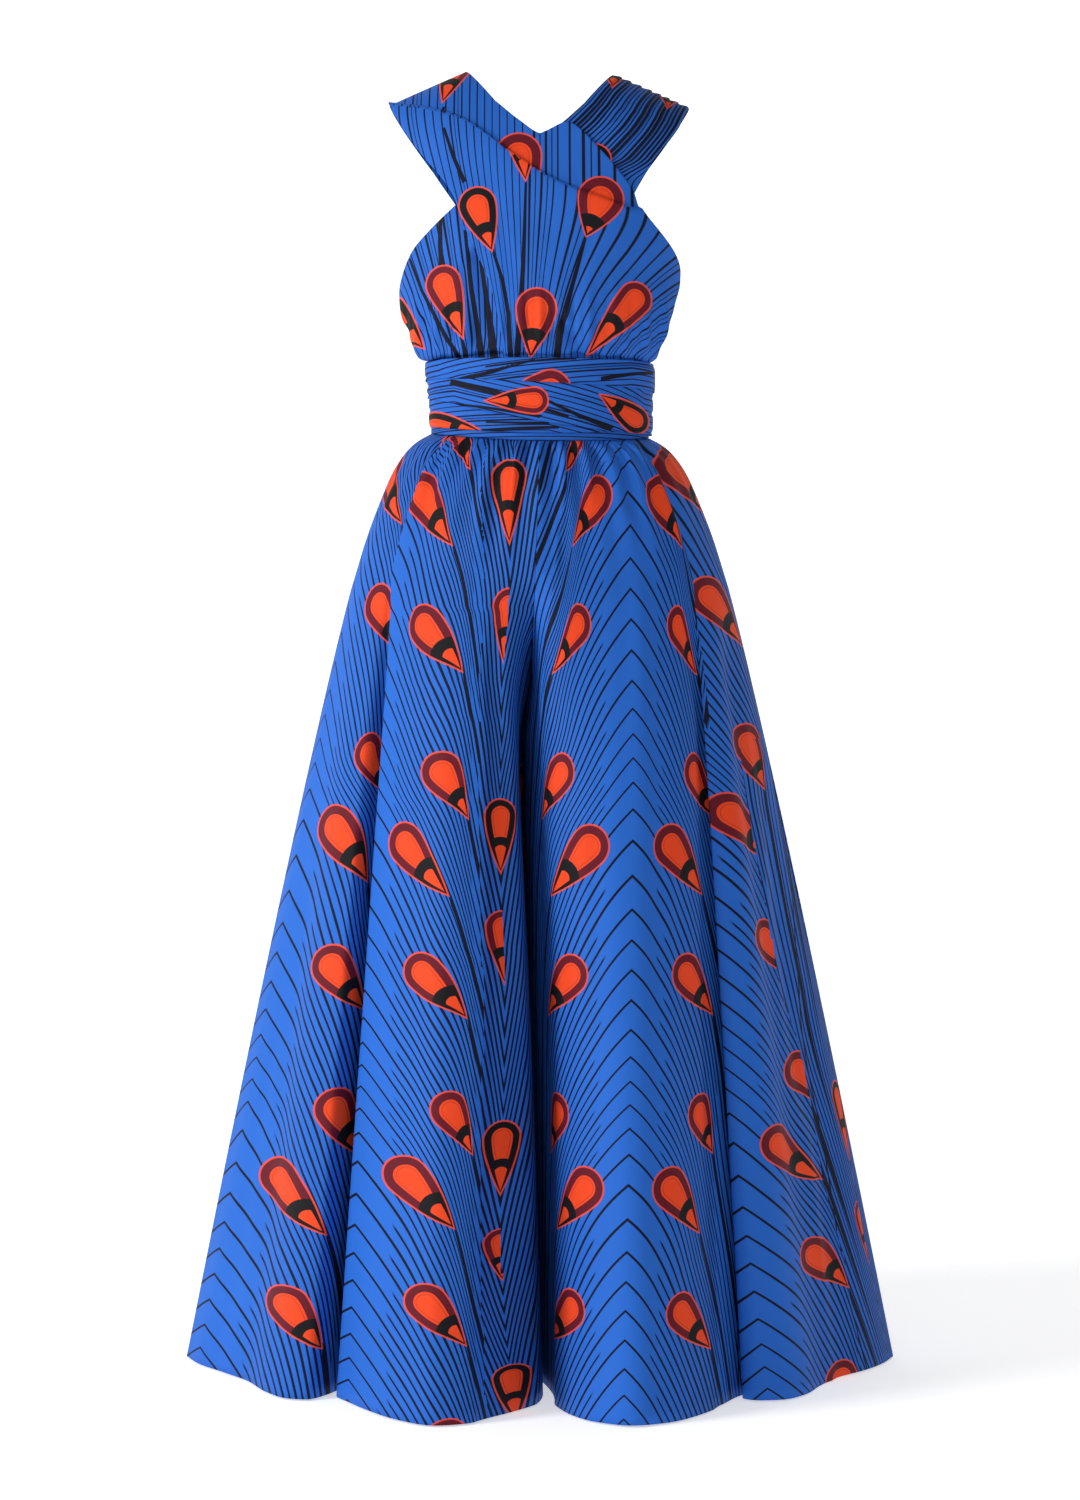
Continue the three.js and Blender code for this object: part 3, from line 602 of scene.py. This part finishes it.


# The same for thick lines that are listed one by one. Lines and drops of layer 1 or -1 show only
# on cells whose side isn't the other one.
def nearest_listed_stem(stems, x, z, side):
    nearest = Nearest(len(x), start=-1.0)
    centre_x, centre_z = x.mean(axis=1), z.mean(axis=1)
    for line in stems:
        shares = np.linspace(0, 1, len(line.places))
        for i, ((ax, az), (bx, bz)) in enumerate(zip(line.places, line.places[1:])):
            length = math.hypot(bx - ax, bz - az)
            tip = ((bx - ax) / length, (bz - az) / length)
            along, _ = turned(centre_x - ax, centre_z - az, tip)
            _, offset = turned(x - ax, z - az, tip)
            past = along - clamp(along, 0, length)
            half = mix(*line.half, mix(shares[i], shares[i + 1], clamp(along / length)))
            local = [offset * MM, np.repeat(half[:, None], 4, axis=1) * MM]
            allowed = (np.abs(past) < STEM_END) & (side * line.layer >= 0)
            nearest.offer(np.hypot(offset.mean(axis=1), past), local, allowed)
    return nearest.local


def nearest_listed_drop(listed, x, z, side):
    nearest = Nearest(len(x))
    for d in listed.rows():
        a = math.radians(d.angle)
        local = np.array(turned(x - d.x, z - d.z, (math.cos(a), -math.sin(a)))) * MM
        along, across = local.mean(axis=2)
        distance = np.hypot(along - d.length * DROP_MIDDLE * MM, across * DROP_NARROW)
        nearest.offer(distance, local, side * d.layer >= 0, (d.radius * MM, d.length * MM + d.dark))
    return nearest


# The maps of a piece whose lines, drops and stems are given in front.
def listed_maps(count, thicker, listed, stems, x, z, is_back, side=0):
    drop = nearest_listed_drop(listed, x, z, side)
    drop.local[is_back] += OUT_OF_SIGHT
    line = nearest_listed_stem(stems, x, z, side)
    line[is_back] = -1
    return {"cloth": pair(count, thicker), "drop": drop.local, "motif": drop.motif, "stem": line}


def cell_corners(values):
    return np.stack([values[:-1, :-1], values[:-1, 1:], values[1:, 1:], values[1:, :-1]], axis=2)


def cells(values):
    return cell_corners(values).reshape(-1, 4)


def pair(a, b):
    return np.stack([a, b], axis=2)


def linked(name, data):
    made = bpy.data.objects.new(name, data)
    bpy.context.scene.collection.objects.link(made)
    return made


# A piece of cloth over a grid's cells, with face-corner maps by name. A closed grid ends at
# its first column again.
def cloth_piece(node, points, maps, flip, material, closed=False):
    rows, columns = points.shape[:2]
    index = np.arange(rows * columns).reshape(rows, columns)
    if closed:
        index = np.concatenate([index, index[:, :1]], axis=1)
    rows, columns = index.shape
    v, u = np.meshgrid(np.linspace(0.998, 0.002, rows), np.linspace(0.002, 0.998, columns), indexing="ij")
    order = -1 if flip else 1
    vertices = (points.reshape(-1, 3) - np.array([0, 0, TOP])) * MM
    mesh = bpy.data.meshes.new(node + "_cloth")
    mesh.from_pydata(vertices.tolist(), [], cells(index)[:, ::order].tolist())
    mesh.update()
    mesh.shade_smooth()
    for name, corners in {**maps, "OFBake": pair(cells(u), cells(v))}.items():
        layer = mesh.uv_layers.new(name=name)
        layer.data.foreach_set("uv", corners[:, ::order].reshape(-1).astype(np.float32))
    piece = linked(node + "_cloth", mesh)
    mesh.materials.append(material)
    shell = piece.modifiers.new("cloth", "SOLIDIFY")
    shell.thickness = CLOTH * MM
    shell.offset = -1
    shell.use_rim = True
    shell.use_even_offset = False
    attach(piece, "root")
    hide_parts(node)
    return piece


def leg_piece(node, material):
    grid = leg_grid(node)
    u, v = leg_print(node, grid)
    drop = nearest_leg_drop(u, v)
    maps = {"cloth": pair(u, v), "drop": drop.local, "motif": drop.motif, "stem": nearest_leg_stem(u, v)}
    return cloth_piece(node, grid.points, maps, grid.flip, material)


# The upper body that the straps lie on.
def ridge_height(x):
    out = np.abs(x) - NECK_X
    return TOP - out * np.where(out > 0, SHOULDER_SLOPE, NECK_SLOPE)


def body_points(x, height, face):
    side, reach, power = (BODICE.at(height, name) for name in ("side", face, "power"))
    below = clamp((ridge_height(x) - height) / SHOULDER_ROUND)
    rounding = np.sqrt(1 - (1 - below) ** 2)
    narrowing = clamp(1 - (np.abs(x) / side) ** power) ** (1 / power)
    depth = reach * narrowing * rounding
    return np.stack([x, depth if face == "back" else -depth, height], axis=-1)


def strap_row(edge, face):
    ends_x, ends_z = np.reshape(edge, (2, 2)).T
    angles = np.arcsin(clamp(ends_x / BODICE.at(ends_z, "side"), -1, 1))
    below = ridge_height(ends_x) - ends_z
    shoulder = rise(ends_z.mean(), SHOULDER_BLEND.start, SHOULDER_BLEND.full)
    share = np.linspace(0, 1, STRAP_COLUMNS)
    level = mix(*ends_z, share)
    round_x = BODICE.at(level, "side") * np.sin(mix(*angles, share))
    x = mix(round_x, mix(*ends_x, share), shoulder)
    height = mix(level, ridge_height(x) - mix(*below, share), shoulder)
    return body_points(x, height, face)


# Rows of an edge table with more rows between them, on smooth curves through the table.
def finer_edges(table):
    rows = np.stack(list(table.columns.values()), axis=1)
    longer = np.vstack([2 * rows[:1] - rows[1:2], rows, 2 * rows[-1:] - rows[-2:-1]])
    result = []
    for p0, p1, p2, p3 in zip(longer, longer[1:], longer[2:], longer[3:]):
        for t in np.arange(0, 1, 1 / ROWS_BETWEEN):
            bend = (p2 - p0) * t + (2 * p0 - 5 * p1 + 4 * p2 - p3) * t * t + (3 * p1 - p0 - 3 * p2 + p3) * t ** 3
            result.append(p1 + bend / 2)
    result.append(rows[-1])
    return result


# The rows from an edge up to the top of the shoulder.
def shoulder_rows(edge, top_ends, steps):
    x, z = np.reshape(edge, (2, 2)).T
    start = ridge_height(x) - z
    start_turn = np.arccos(1 - np.minimum(1, start / SHOULDER_ROUND))
    rows = []
    for step in steps:
        turned_left = start_turn * (1 - step / SHOULDER_STEPS)
        below = start * (1 - np.cos(turned_left)) / (1 - np.cos(start_turn))
        new_x = mix(x, np.array(top_ends), 1 - below / start)
        rows.append(np.stack([new_x, ridge_height(new_x) - below], axis=1).ravel())
    return rows


# A strap's grid from its front foot over the shoulder to its back foot, and its highest row.
def strap_grid(front, back, top_ends):
    front, back = finer_edges(front), finer_edges(back)
    front += shoulder_rows(front[-1], top_ends, range(1, SHOULDER_STEPS + 1))
    back = shoulder_rows(back[0], top_ends, range(SHOULDER_STEPS - 1, 0, -1)) + back
    rows = [strap_row(edge, "front") for edge in front] + [strap_row(edge, "back") for edge in back]
    return np.array(rows), len(front)


def mirrored(table):
    return edges([(-row.toX, row.toZ, -row.fromX, row.fromZ) for row in table.rows()])


def strap_gather(x, height):
    g = STRAP_GATHERS
    window = rise(height, g.start, g.peak) * rise(height, g.end, g.peak)
    sway = np.sin(x / g.sway)
    main = np.cos(2 * np.pi * x / g.wave + sway)
    return g.depth * window * (main + g.share * np.cos(2 * np.pi * x / g.small + 2 * sway))


def tuck_step(x, height):
    below = TUCK_LINE.at(x) - height
    return TUCK.step * smooth(below / TUCK.rise) * (1 - smooth((below - TUCK.rise) / TUCK.reach))


# How far a strap's cloth lies off the upper body.
def strap_lift(node, grid, share):
    x, y, z = np.moveaxis(grid, 2, 0)
    if node == "strap_over":
        lift = mix(OVER_LIFT.waist, OVER_LIFT.chest, rise(z, OVER_LIFT.start, OVER_LIFT.full))
        lift = lift + np.where(y < 0, tuck_step(x, z), 0)
    else:
        within = np.mod(PLEATS.count * share + PLEATS.uneven * np.sin(PLEATS.waves * share), 1)
        climb = smooth(within / PLEATS.edge) * (1 - rise(within, PLEATS.edge, 1))
        lift = PLEATS.depth * rise(z, PLEATS.fade, PLEATS.full) * climb
    return lift + strap_gather(x, z) - np.where(y < 0, crease_depth(CREASES[node], x, z), 0)


# How many lines the print has up to a place across the over strap at its tuck.
OVER_LINES = Table("x count", "-172 -16, -96 -8, -20 1, 40 5.5, 90 8.4, 150 11.4, 460 26")
UNDER_LINE = 8.6
FANS = {
    "strap_over": Sizes(axis=-15.6, narrowing=1.6, bottom=1150.0, power=1.9),
    "strap_under": Sizes(axis=-58.0, narrowing=0.9, bottom=1150.0, power=1.5),
}
UNDER_FAN_TOP = 1330.0
# Cloth across the under strap's pleats, where they start, and how thick the lines are below them.
PLEATED = Sizes(width=190.0, start=1335.0, full=1370.0, below=0.3)
BELOW_TUCK = 0.35  # how far the lines are set off below the tuck


# How many lines the print has up to each point of a strap. In front they stand upright at the
# top of a fan and draw together at its foot.
def strap_lines(node, grid, share):
    x, y, z = np.moveaxis(grid, 2, 0)
    fan = FANS[node]
    top = TUCK_LINE.at(x) if node == "strap_over" else UNDER_FAN_TOP
    down = clamp((top - z) / (top - fan.bottom))
    drawn = (x - fan.axis) * (1 + fan.narrowing * down ** fan.power) + fan.axis
    place = np.where(y < 0, drawn, x)
    if node == "strap_over":
        return np.interp(place, OVER_LINES["x"], OVER_LINES["count"])
    return mix(place, (share - 0.5) * PLEATED.width, rise(z, PLEATED.start, PLEATED.full)) / UNDER_LINE


# Whether cells lie above (1) or below (-1) the over strap's tuck.
def tuck_side(x, z):
    return np.where(z.mean(axis=1) > TUCK_LINE.at(x.mean(axis=1)) - TUCK.rise / 2, 1, -1)


STRAP_DROPS = {
    "strap_over": drops("""
        -24 1370 26.5 66 80 0 1, -22 1396 19 60 84 0 -1, 68 1319 26.5 48 111 0 0, -70 1312 21.8 57 72.6 1 -1,
        -4 1195 23.5 53 97.4 0 -1, 107 1210 19.5 86 130.8 0 -1, -95 1494 20 61 105.4 0 1"""),
    "strap_under": drops("""
        -109 1228 20.5 68 70 0 0, -173 1206 21 64 48 1 0, 62 1366 19 50 90 1 0, 88 1496 17 42 98 0 0,
        151 1466 15 34 100 0 0"""),
}
# Thick lines of the straps' fronts, each from its top to its foot.
STRAP_STEMS = {
    "strap_over": [
        stem((1.6, 2.6), "-108 1402, -98 1371, -85 1340", layer=-1),
        stem((1.6, 3.2), "-53 1262, -42 1227, -35 1190, -33 1145", layer=-1),
        stem((1.4, 3.4), "-15.7 1338, -17 1290, -18.5 1247, -21 1205, -26 1145", layer=-1),
        stem((1.6, 4.2), "51 1276, 41 1239, 31 1204, 22.5 1173, 19 1145", layer=-1),
        stem((1.6, 2.6), "-109 1430, -113 1415, -117 1395", layer=1),
    ],
    "strap_under": [
        stem((2.2, 3.2), "-112 1300, -112 1270, -110 1245"),
        stem((1.8, 4.2), "-84 1285, -77 1219, -70 1176, -65 1140"),
        stem((2.4, 5.0), "-66 1250, -57 1190, -51 1140"),
        stem((1.8, 2.6), "-88 1166, -81 1140"),
        stem((1.4, 2.6), "-147 1259, -134 1224, -117 1190, -105 1167, -86 1140"),
    ],
}


def strap_piece(node, grid, turn_row, material):
    share = np.broadcast_to(np.linspace(0, 1, grid.shape[1]), grid.shape[:2])
    points = grid + grid_normals(grid) * strap_lift(node, grid, share)[..., None]
    x, z = cells(points[..., 0]), cells(points[..., 2])
    count, side, thicker = cells(strap_lines(node, grid, share)), 0, np.zeros_like(z)
    if node == "strap_over":
        side = tuck_side(x, z)
        count = count + np.where(side < 0, BELOW_TUCK, 0)[:, None]
    else:
        thicker = mix(PLEATED.below, 1, rise(z, PLEATED.start, PLEATED.full))
    is_back = np.repeat(np.arange(len(grid) - 1) >= turn_row, grid.shape[1] - 1)
    maps = listed_maps(count, thicker, STRAP_DROPS[node], STRAP_STEMS[node], x, z, is_back, side)
    return cloth_piece(node, points, maps, True, material)


# The rings round the waist: how far out they lie and swell, and the heights of their edges at
# the front, left, back and right. Their print: the distance between its lines, how the lines
# climb to the viewer's right and where that starts, drops and thick lines. Their creases:
# height at the front, fall across the front, width and depth.
RINGS = {
    "wrap_lower": Sizes(
        layer=2.3, swell=0.5, bottom=(1059.0, 1071.0, 1074.0, 1075.0), top=(1096.0, 1092.0, 1100.0, 1113.0),
        step=6.0, climb=-0.22, start=10.0, drops=drops("-124 1071 19 62 9 1 0"),
        stems=[stem((2.4, 1.4), "-66 1062, -20 1064, 20 1065"), stem((1.2, 1.8), "-60 1072, -20 1070, 10 1070")],
        creases=[(1082, 12, 2.6, 1.6), (1070, 5, 2.2, 1.2)],
    ),
    "wrap_middle": Sizes(
        layer=4.6, swell=0.5, bottom=(1072.0, 1065.0, 1084.0, 1108.0), top=(1126.0, 1125.0, 1128.0, 1136.0),
        step=6.2, climb=-0.24, start=-110.0, drops=drops("-6 1095 16 58 181 0 0, 108 1078 17 50 212 1 0"),
        stems=[
            stem((3.2, 1.4), "-100 1120, -50 1105, -10 1090, 30 1078"),
            stem((1.6, 3.0), "10 1094, 45 1078, 80 1066"),
            stem((1.2, 1.8), "-128 1100, -60 1088, 0 1077"),
        ],
        creases=[(1106, 16, 2.6, 1.7), (1090, 22, 2.4, 1.5), (1098, -10, 2.2, 1.0)],
    ),
    "wrap_upper": Sizes(
        layer=6.9, swell=0.5, bottom=(1116.0, 1115.0, 1118.0, 1128.0), top=(1143.0, 1147.0, 1148.0, 1149.0),
        step=6.2, climb=0.10, start=-140.0, drops=drops("12 1106 24 60 172 0 0"),
        stems=[
            stem((3.0, 1.2), "-104 1119, -60 1127, -8 1140"),
            stem((2.4, 1.6), "70 1121, 100 1128, 128 1134"),
            stem((1.0, 1.6), "-60 1134, -10 1139, 40 1143"),
        ],
        creases=[(1131, -14, 2.4, 1.6), (1122, 10, 2.2, 1.2)],
    ),
    "waistband": Sizes(
        layer=0.0, swell=0.0, bottom=tuple(height + SEAM for height in WAIST_SEAM), top=(BAND_TOP,) * 4,
        step=5.0, climb=0.0, start=0.0, drops=drops("300 1079 20 60 0 1 0"), stems=[], creases=[],
    ),
}
CLIMB_LENGTH = 260.0


def ring_piece(node, material):
    ring = RINGS[node]
    turns = np.linspace(0, 2 * np.pi, RING_COLUMNS + 1)[:-1]
    level, turn = np.meshgrid(np.linspace(0, 1, RING_ROWS), turns, indexing="ij")
    side, front, back = (BODICE.at(BAND_TOP, name) for name in ("side", "front", "back"))
    out = ring.layer + ring.swell * np.sin(np.pi * level)
    depth = np.where(np.cos(turn) > 0, front, back) + out
    z = mix(edge_height(ring.bottom, turn), edge_height(ring.top, turn), level)
    sunk = np.zeros_like(z)
    for middle, fall, width, deep in ring.creases:
        sunk = sunk + deep * np.exp(-(((z - (middle - fall * np.sin(turn))) / width) ** 2))
    shrink = 1 - sunk / RING_REACH
    points = np.stack([(side + out) * np.sin(turn) * shrink, -depth * np.cos(turn) * shrink, z], axis=2)
    around = np.where(turn > np.pi, turn - 2 * np.pi, turn) * (side + ring.layer)
    count = (z - ring.climb * clamp(around - ring.start, 0, CLIMB_LENGTH)) / ring.step
    x, y, z, count = (
        cells(np.concatenate([values, values[:, :1]], axis=1)) for values in (*np.moveaxis(points, 2, 0), count)
    )
    maps = listed_maps(count, np.zeros_like(count), ring.drops, ring.stems, x, z, y.mean(axis=1) > 0)
    return cloth_piece(node, points, maps, True, material, closed=True)


# Sets a node's inputs, by name or number, to numbers, colours or other nodes' values.
def feed(tree, node, inputs):
    for name, value in inputs.items():
        socket = node.inputs[name]
        if isinstance(value, Value):
            tree.links.new(value.socket, socket)
        else:
            socket.default_value = (*value, 1) if socket.type == "RGBA" else value


# Adds a node to a tree and gives one of its outputs.
def add(tree, kind, inputs, output=0, **settings):
    node = tree.nodes.new(kind)
    for name, value in settings.items():
        setattr(node, name, value)
    feed(tree, node, inputs)
    return Value(tree, node.outputs[output])


# An output of a shader node. Arithmetic with it adds more nodes.
class Value:
    def __init__(self, tree, socket):
        self.tree, self.socket = tree, socket

    def math(self, operation, *others, clamped=False):
        inputs = dict(enumerate((self, *others)))
        return add(self.tree, "ShaderNodeMath", inputs, operation=operation, use_clamp=clamped)

    __add__ = lambda self, other: self.math("ADD", other)
    __sub__ = lambda self, other: self.math("SUBTRACT", other)
    __mul__ = lambda self, other: self.math("MULTIPLY", other)
    __truediv__ = lambda self, other: self.math("DIVIDE", other)
    __abs__ = lambda self: self.math("ABSOLUTE")

    def __rsub__(self, other):
        return add(self.tree, "ShaderNodeMath", {0: other, 1: self}, operation="SUBTRACT")

    # A random number for each whole number.
    def random(self):
        return add(self.tree, "ShaderNodeTexWhiteNoise", {"W": self}, "Value", noise_dimensions="1D")


# 1 where a value is below a limit, with an edge as soft as the given width.
def below(value, limit, soft):
    return ((limit - value) / soft).math("ADD", 0.5, clamped=True)


def most(a, b):
    return a.math("MAXIMUM", b)


def blend(share, a, b):
    inputs = {0: share, 6: a, 7: b}
    return add(share.tree, "ShaderNodeMix", inputs, 2, data_type="RGBA", clamp_factor=True)


def map_places(tree, name):
    place = add(tree, "ShaderNodeUVMap", {}, uv_map=name)
    first = add(tree, "ShaderNodeSeparateXYZ", {0: place})
    return first, Value(tree, first.socket.node.outputs[1])


GROUND = (0.019, 0.130, 0.56)
INK = (0.0045, 0.0055, 0.016)
CORAL = (0.78, 0.070, 0.040)
MAROON = (0.125, 0.008, 0.018)
ORANGE = (0.86, 0.066, 0.014)
BLACK = (0.006, 0.006, 0.008)
PALE = (0.86, 0.86, 0.86)
FADED = 1.12  # the ground's brightest patches
STRAP_SHADE = 0.92  # painted shade: the straps, wraps and waistband get a darker copy of the legs' ground
EDGE = 0.0004  # softness of the print's edges

BARB = Sizes(half=0.00115, more=0.0003, thin=0.0009, more_at=0.187, near=0.006, soft=0.022)
BARB_SWAY = (-0.083, 0.286)  # where a repeat's uneven distances start, and how large they are
BARB_SECOND_SWAY = (-0.004, 0.088)
THIN_BARBS = Sizes(start=0.031, uneven=0.012, end=0.135, soft=0.004)
SPINE = Sizes(at=0.189, wobble=0.004, half=0.0012)


# Lines of the chevrons, with shorter and thinner ones between them away from the points.
def barb_lines(tree):
    u, v = map_places(tree, "cloth")
    m = u.math("PINGPONG", HALF_REPEAT)
    turns = (v + barb_drop(m)) / REPEAT
    sway = ((turns + BARB_SWAY[0]) * (2 * math.pi)).math("SINE") * BARB_SWAY[1]
    quick = ((turns + BARB_SECOND_SWAY[0]) * (4 * math.pi)).math("SINE") * BARB_SECOND_SWAY[1]
    count = turns * float(BARBS) + (sway + quick)
    steep = barb_slope(m)
    spacing = (steep * steep + 1.0).math("INVERSE_SQRT") * (REPEAT / BARBS)
    off = count.math("PINGPONG", 0.5)
    half = below(abs(m - BARB.more_at), BARB.near, BARB.soft) * BARB.more + BARB.half
    lines = below(off * spacing, half, EDGE)
    start = count.math("FLOOR").random() * THIN_BARBS.uneven + THIN_BARBS.start
    started = below(start, m, THIN_BARBS.soft) * below(m, THIN_BARBS.end, THIN_BARBS.soft)
    extra = below((0.5 - off) * spacing, BARB.thin, EDGE) * started
    wobble = (v * (2 * math.pi / REPEAT)).math("SINE") * SPINE.wobble
    spine = below(abs(m + wobble - SPINE.at), SPINE.half, EDGE)
    return most(most(lines, extra), spine)


LINE = Sizes(half=0.62, uneven=0.45, thicker=0.07, uneven_thicker=0.24, soft=0.05, bare=0.72, wanted_soft=0.01)


# Lines at whole numbers of the first coordinate, of uneven width. The second coordinate
# thickens them.
def straight_lines(tree, width):
    count, thicker = map_places(tree, "cloth")
    off = count.math("PINGPONG", 0.5)
    uneven = count.math("ROUND").random()
    half = uneven * (width * LINE.uneven) + width * LINE.half
    half = half + thicker * (uneven * LINE.uneven_thicker + LINE.thicker)
    wanted = below(LINE.bare, count.math("FLOOR").random(), LINE.wanted_soft)
    extra = below(0.5 - off, width * LINE.uneven, LINE.soft) * wanted
    return most(below(off, half, LINE.soft), extra)


# The drop's sizes. Its rim starts at a distance inside its edge. The others are shares of its
# radius, length or width.
TAIL_POWER = 1.55  # how late a drop narrows
RIM = -0.0019
CORE = -0.44
CORE_RING = Sizes(inside=0.56, half=0.0003, strength=0.55)
TAIL = Sizes(length=0.26, radius=1.2)  # the middle of the crescent's circles
CRESCENT = 0.90
SMALL_CORE = Sizes(radius=0.36, width=0.70, less=0.11)


# The drop: a round head and a pointed tail, a coral outline, a dark rim, an orange core, and
# a black crescent that parts the core from a smaller one in the tail.
def drop_colours(tree, ground):
    along, across = map_places(tree, "drop")
    radius, packed = map_places(tree, "motif")
    dark = below(0.5, packed, 0.01)
    length = packed - dark
    across = abs(across)
    t = along.math("DIVIDE", length, clamped=True)
    width = radius * (1.0 - t.math("POWER", TAIL_POWER))
    head = (along * along + across * across).math("SQRT") - radius
    behind = below(along, 0.0, 0.0001)
    edge = behind * head + (1.0 - behind) * most(across - width, along - length)
    core = below(edge, radius * CORE, EDGE)
    from_tail = along - (length * TAIL.length + radius * TAIL.radius)
    tail_round = (from_tail * from_tail + across * across).math("SQRT")
    beyond = below(0.0, from_tail, 0.0002)
    crescent = most(below(tail_round, radius * CRESCENT, EDGE), beyond)
    small = most(below(tail_round, radius * SMALL_CORE.radius, EDGE), beyond)
    small = small * below(across, width * SMALL_CORE.width - radius * SMALL_CORE.less, EDGE)
    rim_colour = blend(most(crescent, dark), MAROON, BLACK)
    ring = below(abs(edge + radius * CORE_RING.inside), CORE_RING.half, CORE_RING.half)
    orange = blend(ring * CORE_RING.strength, ORANGE, MAROON)
    head_part = blend(core * (1.0 - crescent), rim_colour, orange)
    drop = blend(below(edge, RIM, EDGE), CORAL, blend(small, head_part, ORANGE))
    return blend(below(edge, 0.0, EDGE), ground, drop)


def print_material(name, ground, line_width=None):
    material = bpy.data.materials.new(name)
    material.use_nodes = True
    tree = material.node_tree
    tree.nodes.clear()
    off, half = map_places(tree, "stem")
    lines = straight_lines(tree, line_width) if line_width else barb_lines(tree)
    lines = most(lines, below(abs(off), half, EDGE))
    place = add(tree, "ShaderNodeTexCoord", {}, "Object")
    cloud = add(tree, "ShaderNodeTexNoise", {"Vector": place, "Scale": 9.0, "Detail": 3.0}, "Fac")
    base = blend(cloud, ground, tuple(min(1.0, channel * FADED) for channel in ground))
    stretch = add(tree, "ShaderNodeMapping", {"Vector": place, "Scale": (26.0, 26.0, 7.0)})
    waves = {"Vector": stretch, "Scale": 1.0, "Detail": 5.0, "Roughness": 0.55}
    crumple = add(tree, "ShaderNodeTexNoise", waves, "Fac")
    shader = add(tree, "ShaderNodeBsdfPrincipled", {
        "Base Color": drop_colours(tree, blend(lines, base, INK)), "Roughness": 0.68, "Specular IOR Level": 0.16,
        "Normal": add(tree, "ShaderNodeBump", {"Strength": 0.35, "Distance": 0.0012, "Height": crumple}),
    })
    tree.links.new(shader.socket, tree.nodes.new("ShaderNodeOutputMaterial").inputs[0])
    return material


def plain_material(name, colour, roughness, glow):
    material = bpy.data.materials.new(name)
    material.use_nodes = True
    feed(material.node_tree, material.node_tree.nodes["Principled BSDF"], {
        "Base Color": colour, "Roughness": roughness, "Emission Color": colour, "Emission Strength": glow,
    })
    return material


BACKDROP = Sizes(half=14.0, back=4.0, bend=1.6, height=9.0, steps=14, gap=2.0)


# A pale floor that curves up into a pale wall behind.
def backdrop():
    way = BACKDROP
    turn = np.linspace(0, math.pi / 2, way.steps)
    y = np.concatenate([[-way.half], way.back + way.bend * np.sin(turn), [way.back + way.bend]])
    z = np.concatenate([[0], way.bend * (1 - np.cos(turn)), [way.height]]) - (TOP + way.gap) * MM
    corners = [(side * way.half, a, b) for a, b in zip(y, z) for side in (-1, 1)]
    mesh = bpy.data.meshes.new("backdrop")
    mesh.from_pydata(corners, [], [(2 * i, 2 * i + 1, 2 * i + 3, 2 * i + 2) for i in range(len(y) - 1)])
    mesh.shade_smooth()
    mesh.materials.append(plain_material("pale_backdrop", PALE, 0.95, 0.62))
    linked("backdrop", mesh)


def area_light(name, place, target, size, power):
    light = bpy.data.lights.new(name, "AREA")
    light.shape = "DISK"
    light.size = size
    light.energy = power
    lamp = linked(name, light)
    lamp.location = place
    lamp.rotation_mode = "QUATERNION"
    lamp.rotation_quaternion = (Vector(target) - Vector(place)).to_track_quat("-Z", "Y")


def studio():
    world = bpy.data.worlds.new("studio")
    world.use_nodes = True
    feed(world.node_tree, world.node_tree.nodes["Background"], {0: (1, 1, 1), 1: 0.25})
    bpy.context.scene.world = world
    area_light("key", (-4.3, -2.2, 1.1), (0, 0, -0.7), 1.8, 168)
    area_light("fill", (-0.4, -4.6, 0.3), (0, 0, -0.8), 2.4, 28)


CAMERA_DISTANCE = 3.6
CAMERA_HEIGHT = 701.4
LENS = 74.65


def camera():
    data = bpy.data.cameras.new("camera")
    data.lens = LENS
    data.sensor_width = 36
    data.clip_end = 100
    eye = linked("camera", data)
    eye.location = (0, -CAMERA_DISTANCE, (CAMERA_HEIGHT - TOP) * MM)
    eye.rotation_euler = (math.radians(90), 0, 0)
    bpy.context.scene.camera = eye


camera()
backdrop()
studio()
bpy.context.scene.view_settings.view_transform = "Standard"

# Painted shade: the legs' ground, darkened, for the straps, wraps and waistband.
SHADED_GROUND = tuple(channel * STRAP_SHADE for channel in GROUND)
LEG_PRINT = print_material("leg_print", GROUND)
STRAP_PRINT = print_material("strap_print", SHADED_GROUND, line_width=0.105)
BAND_PRINT = print_material("band_print", SHADED_GROUND, line_width=0.16)

for node in FOLDS:
    leg = leg_piece(node, LEG_PRINT)

over_grid = strap_grid(OVER_FRONT, OVER_BACK, (-SHOULDER_X, -NECK_X))
under_grid = strap_grid(UNDER_FRONT, mirrored(OVER_BACK), (NECK_X, SHOULDER_X))
over_piece = strap_piece("strap_over", *over_grid, STRAP_PRINT)
under_piece = strap_piece("strap_under", *under_grid, STRAP_PRINT)

for node, ring in RINGS.items():
    if node == "waistband":
        ring_piece(node, BAND_PRINT)
    else:
        wrap = ring_piece(node, BAND_PRINT)
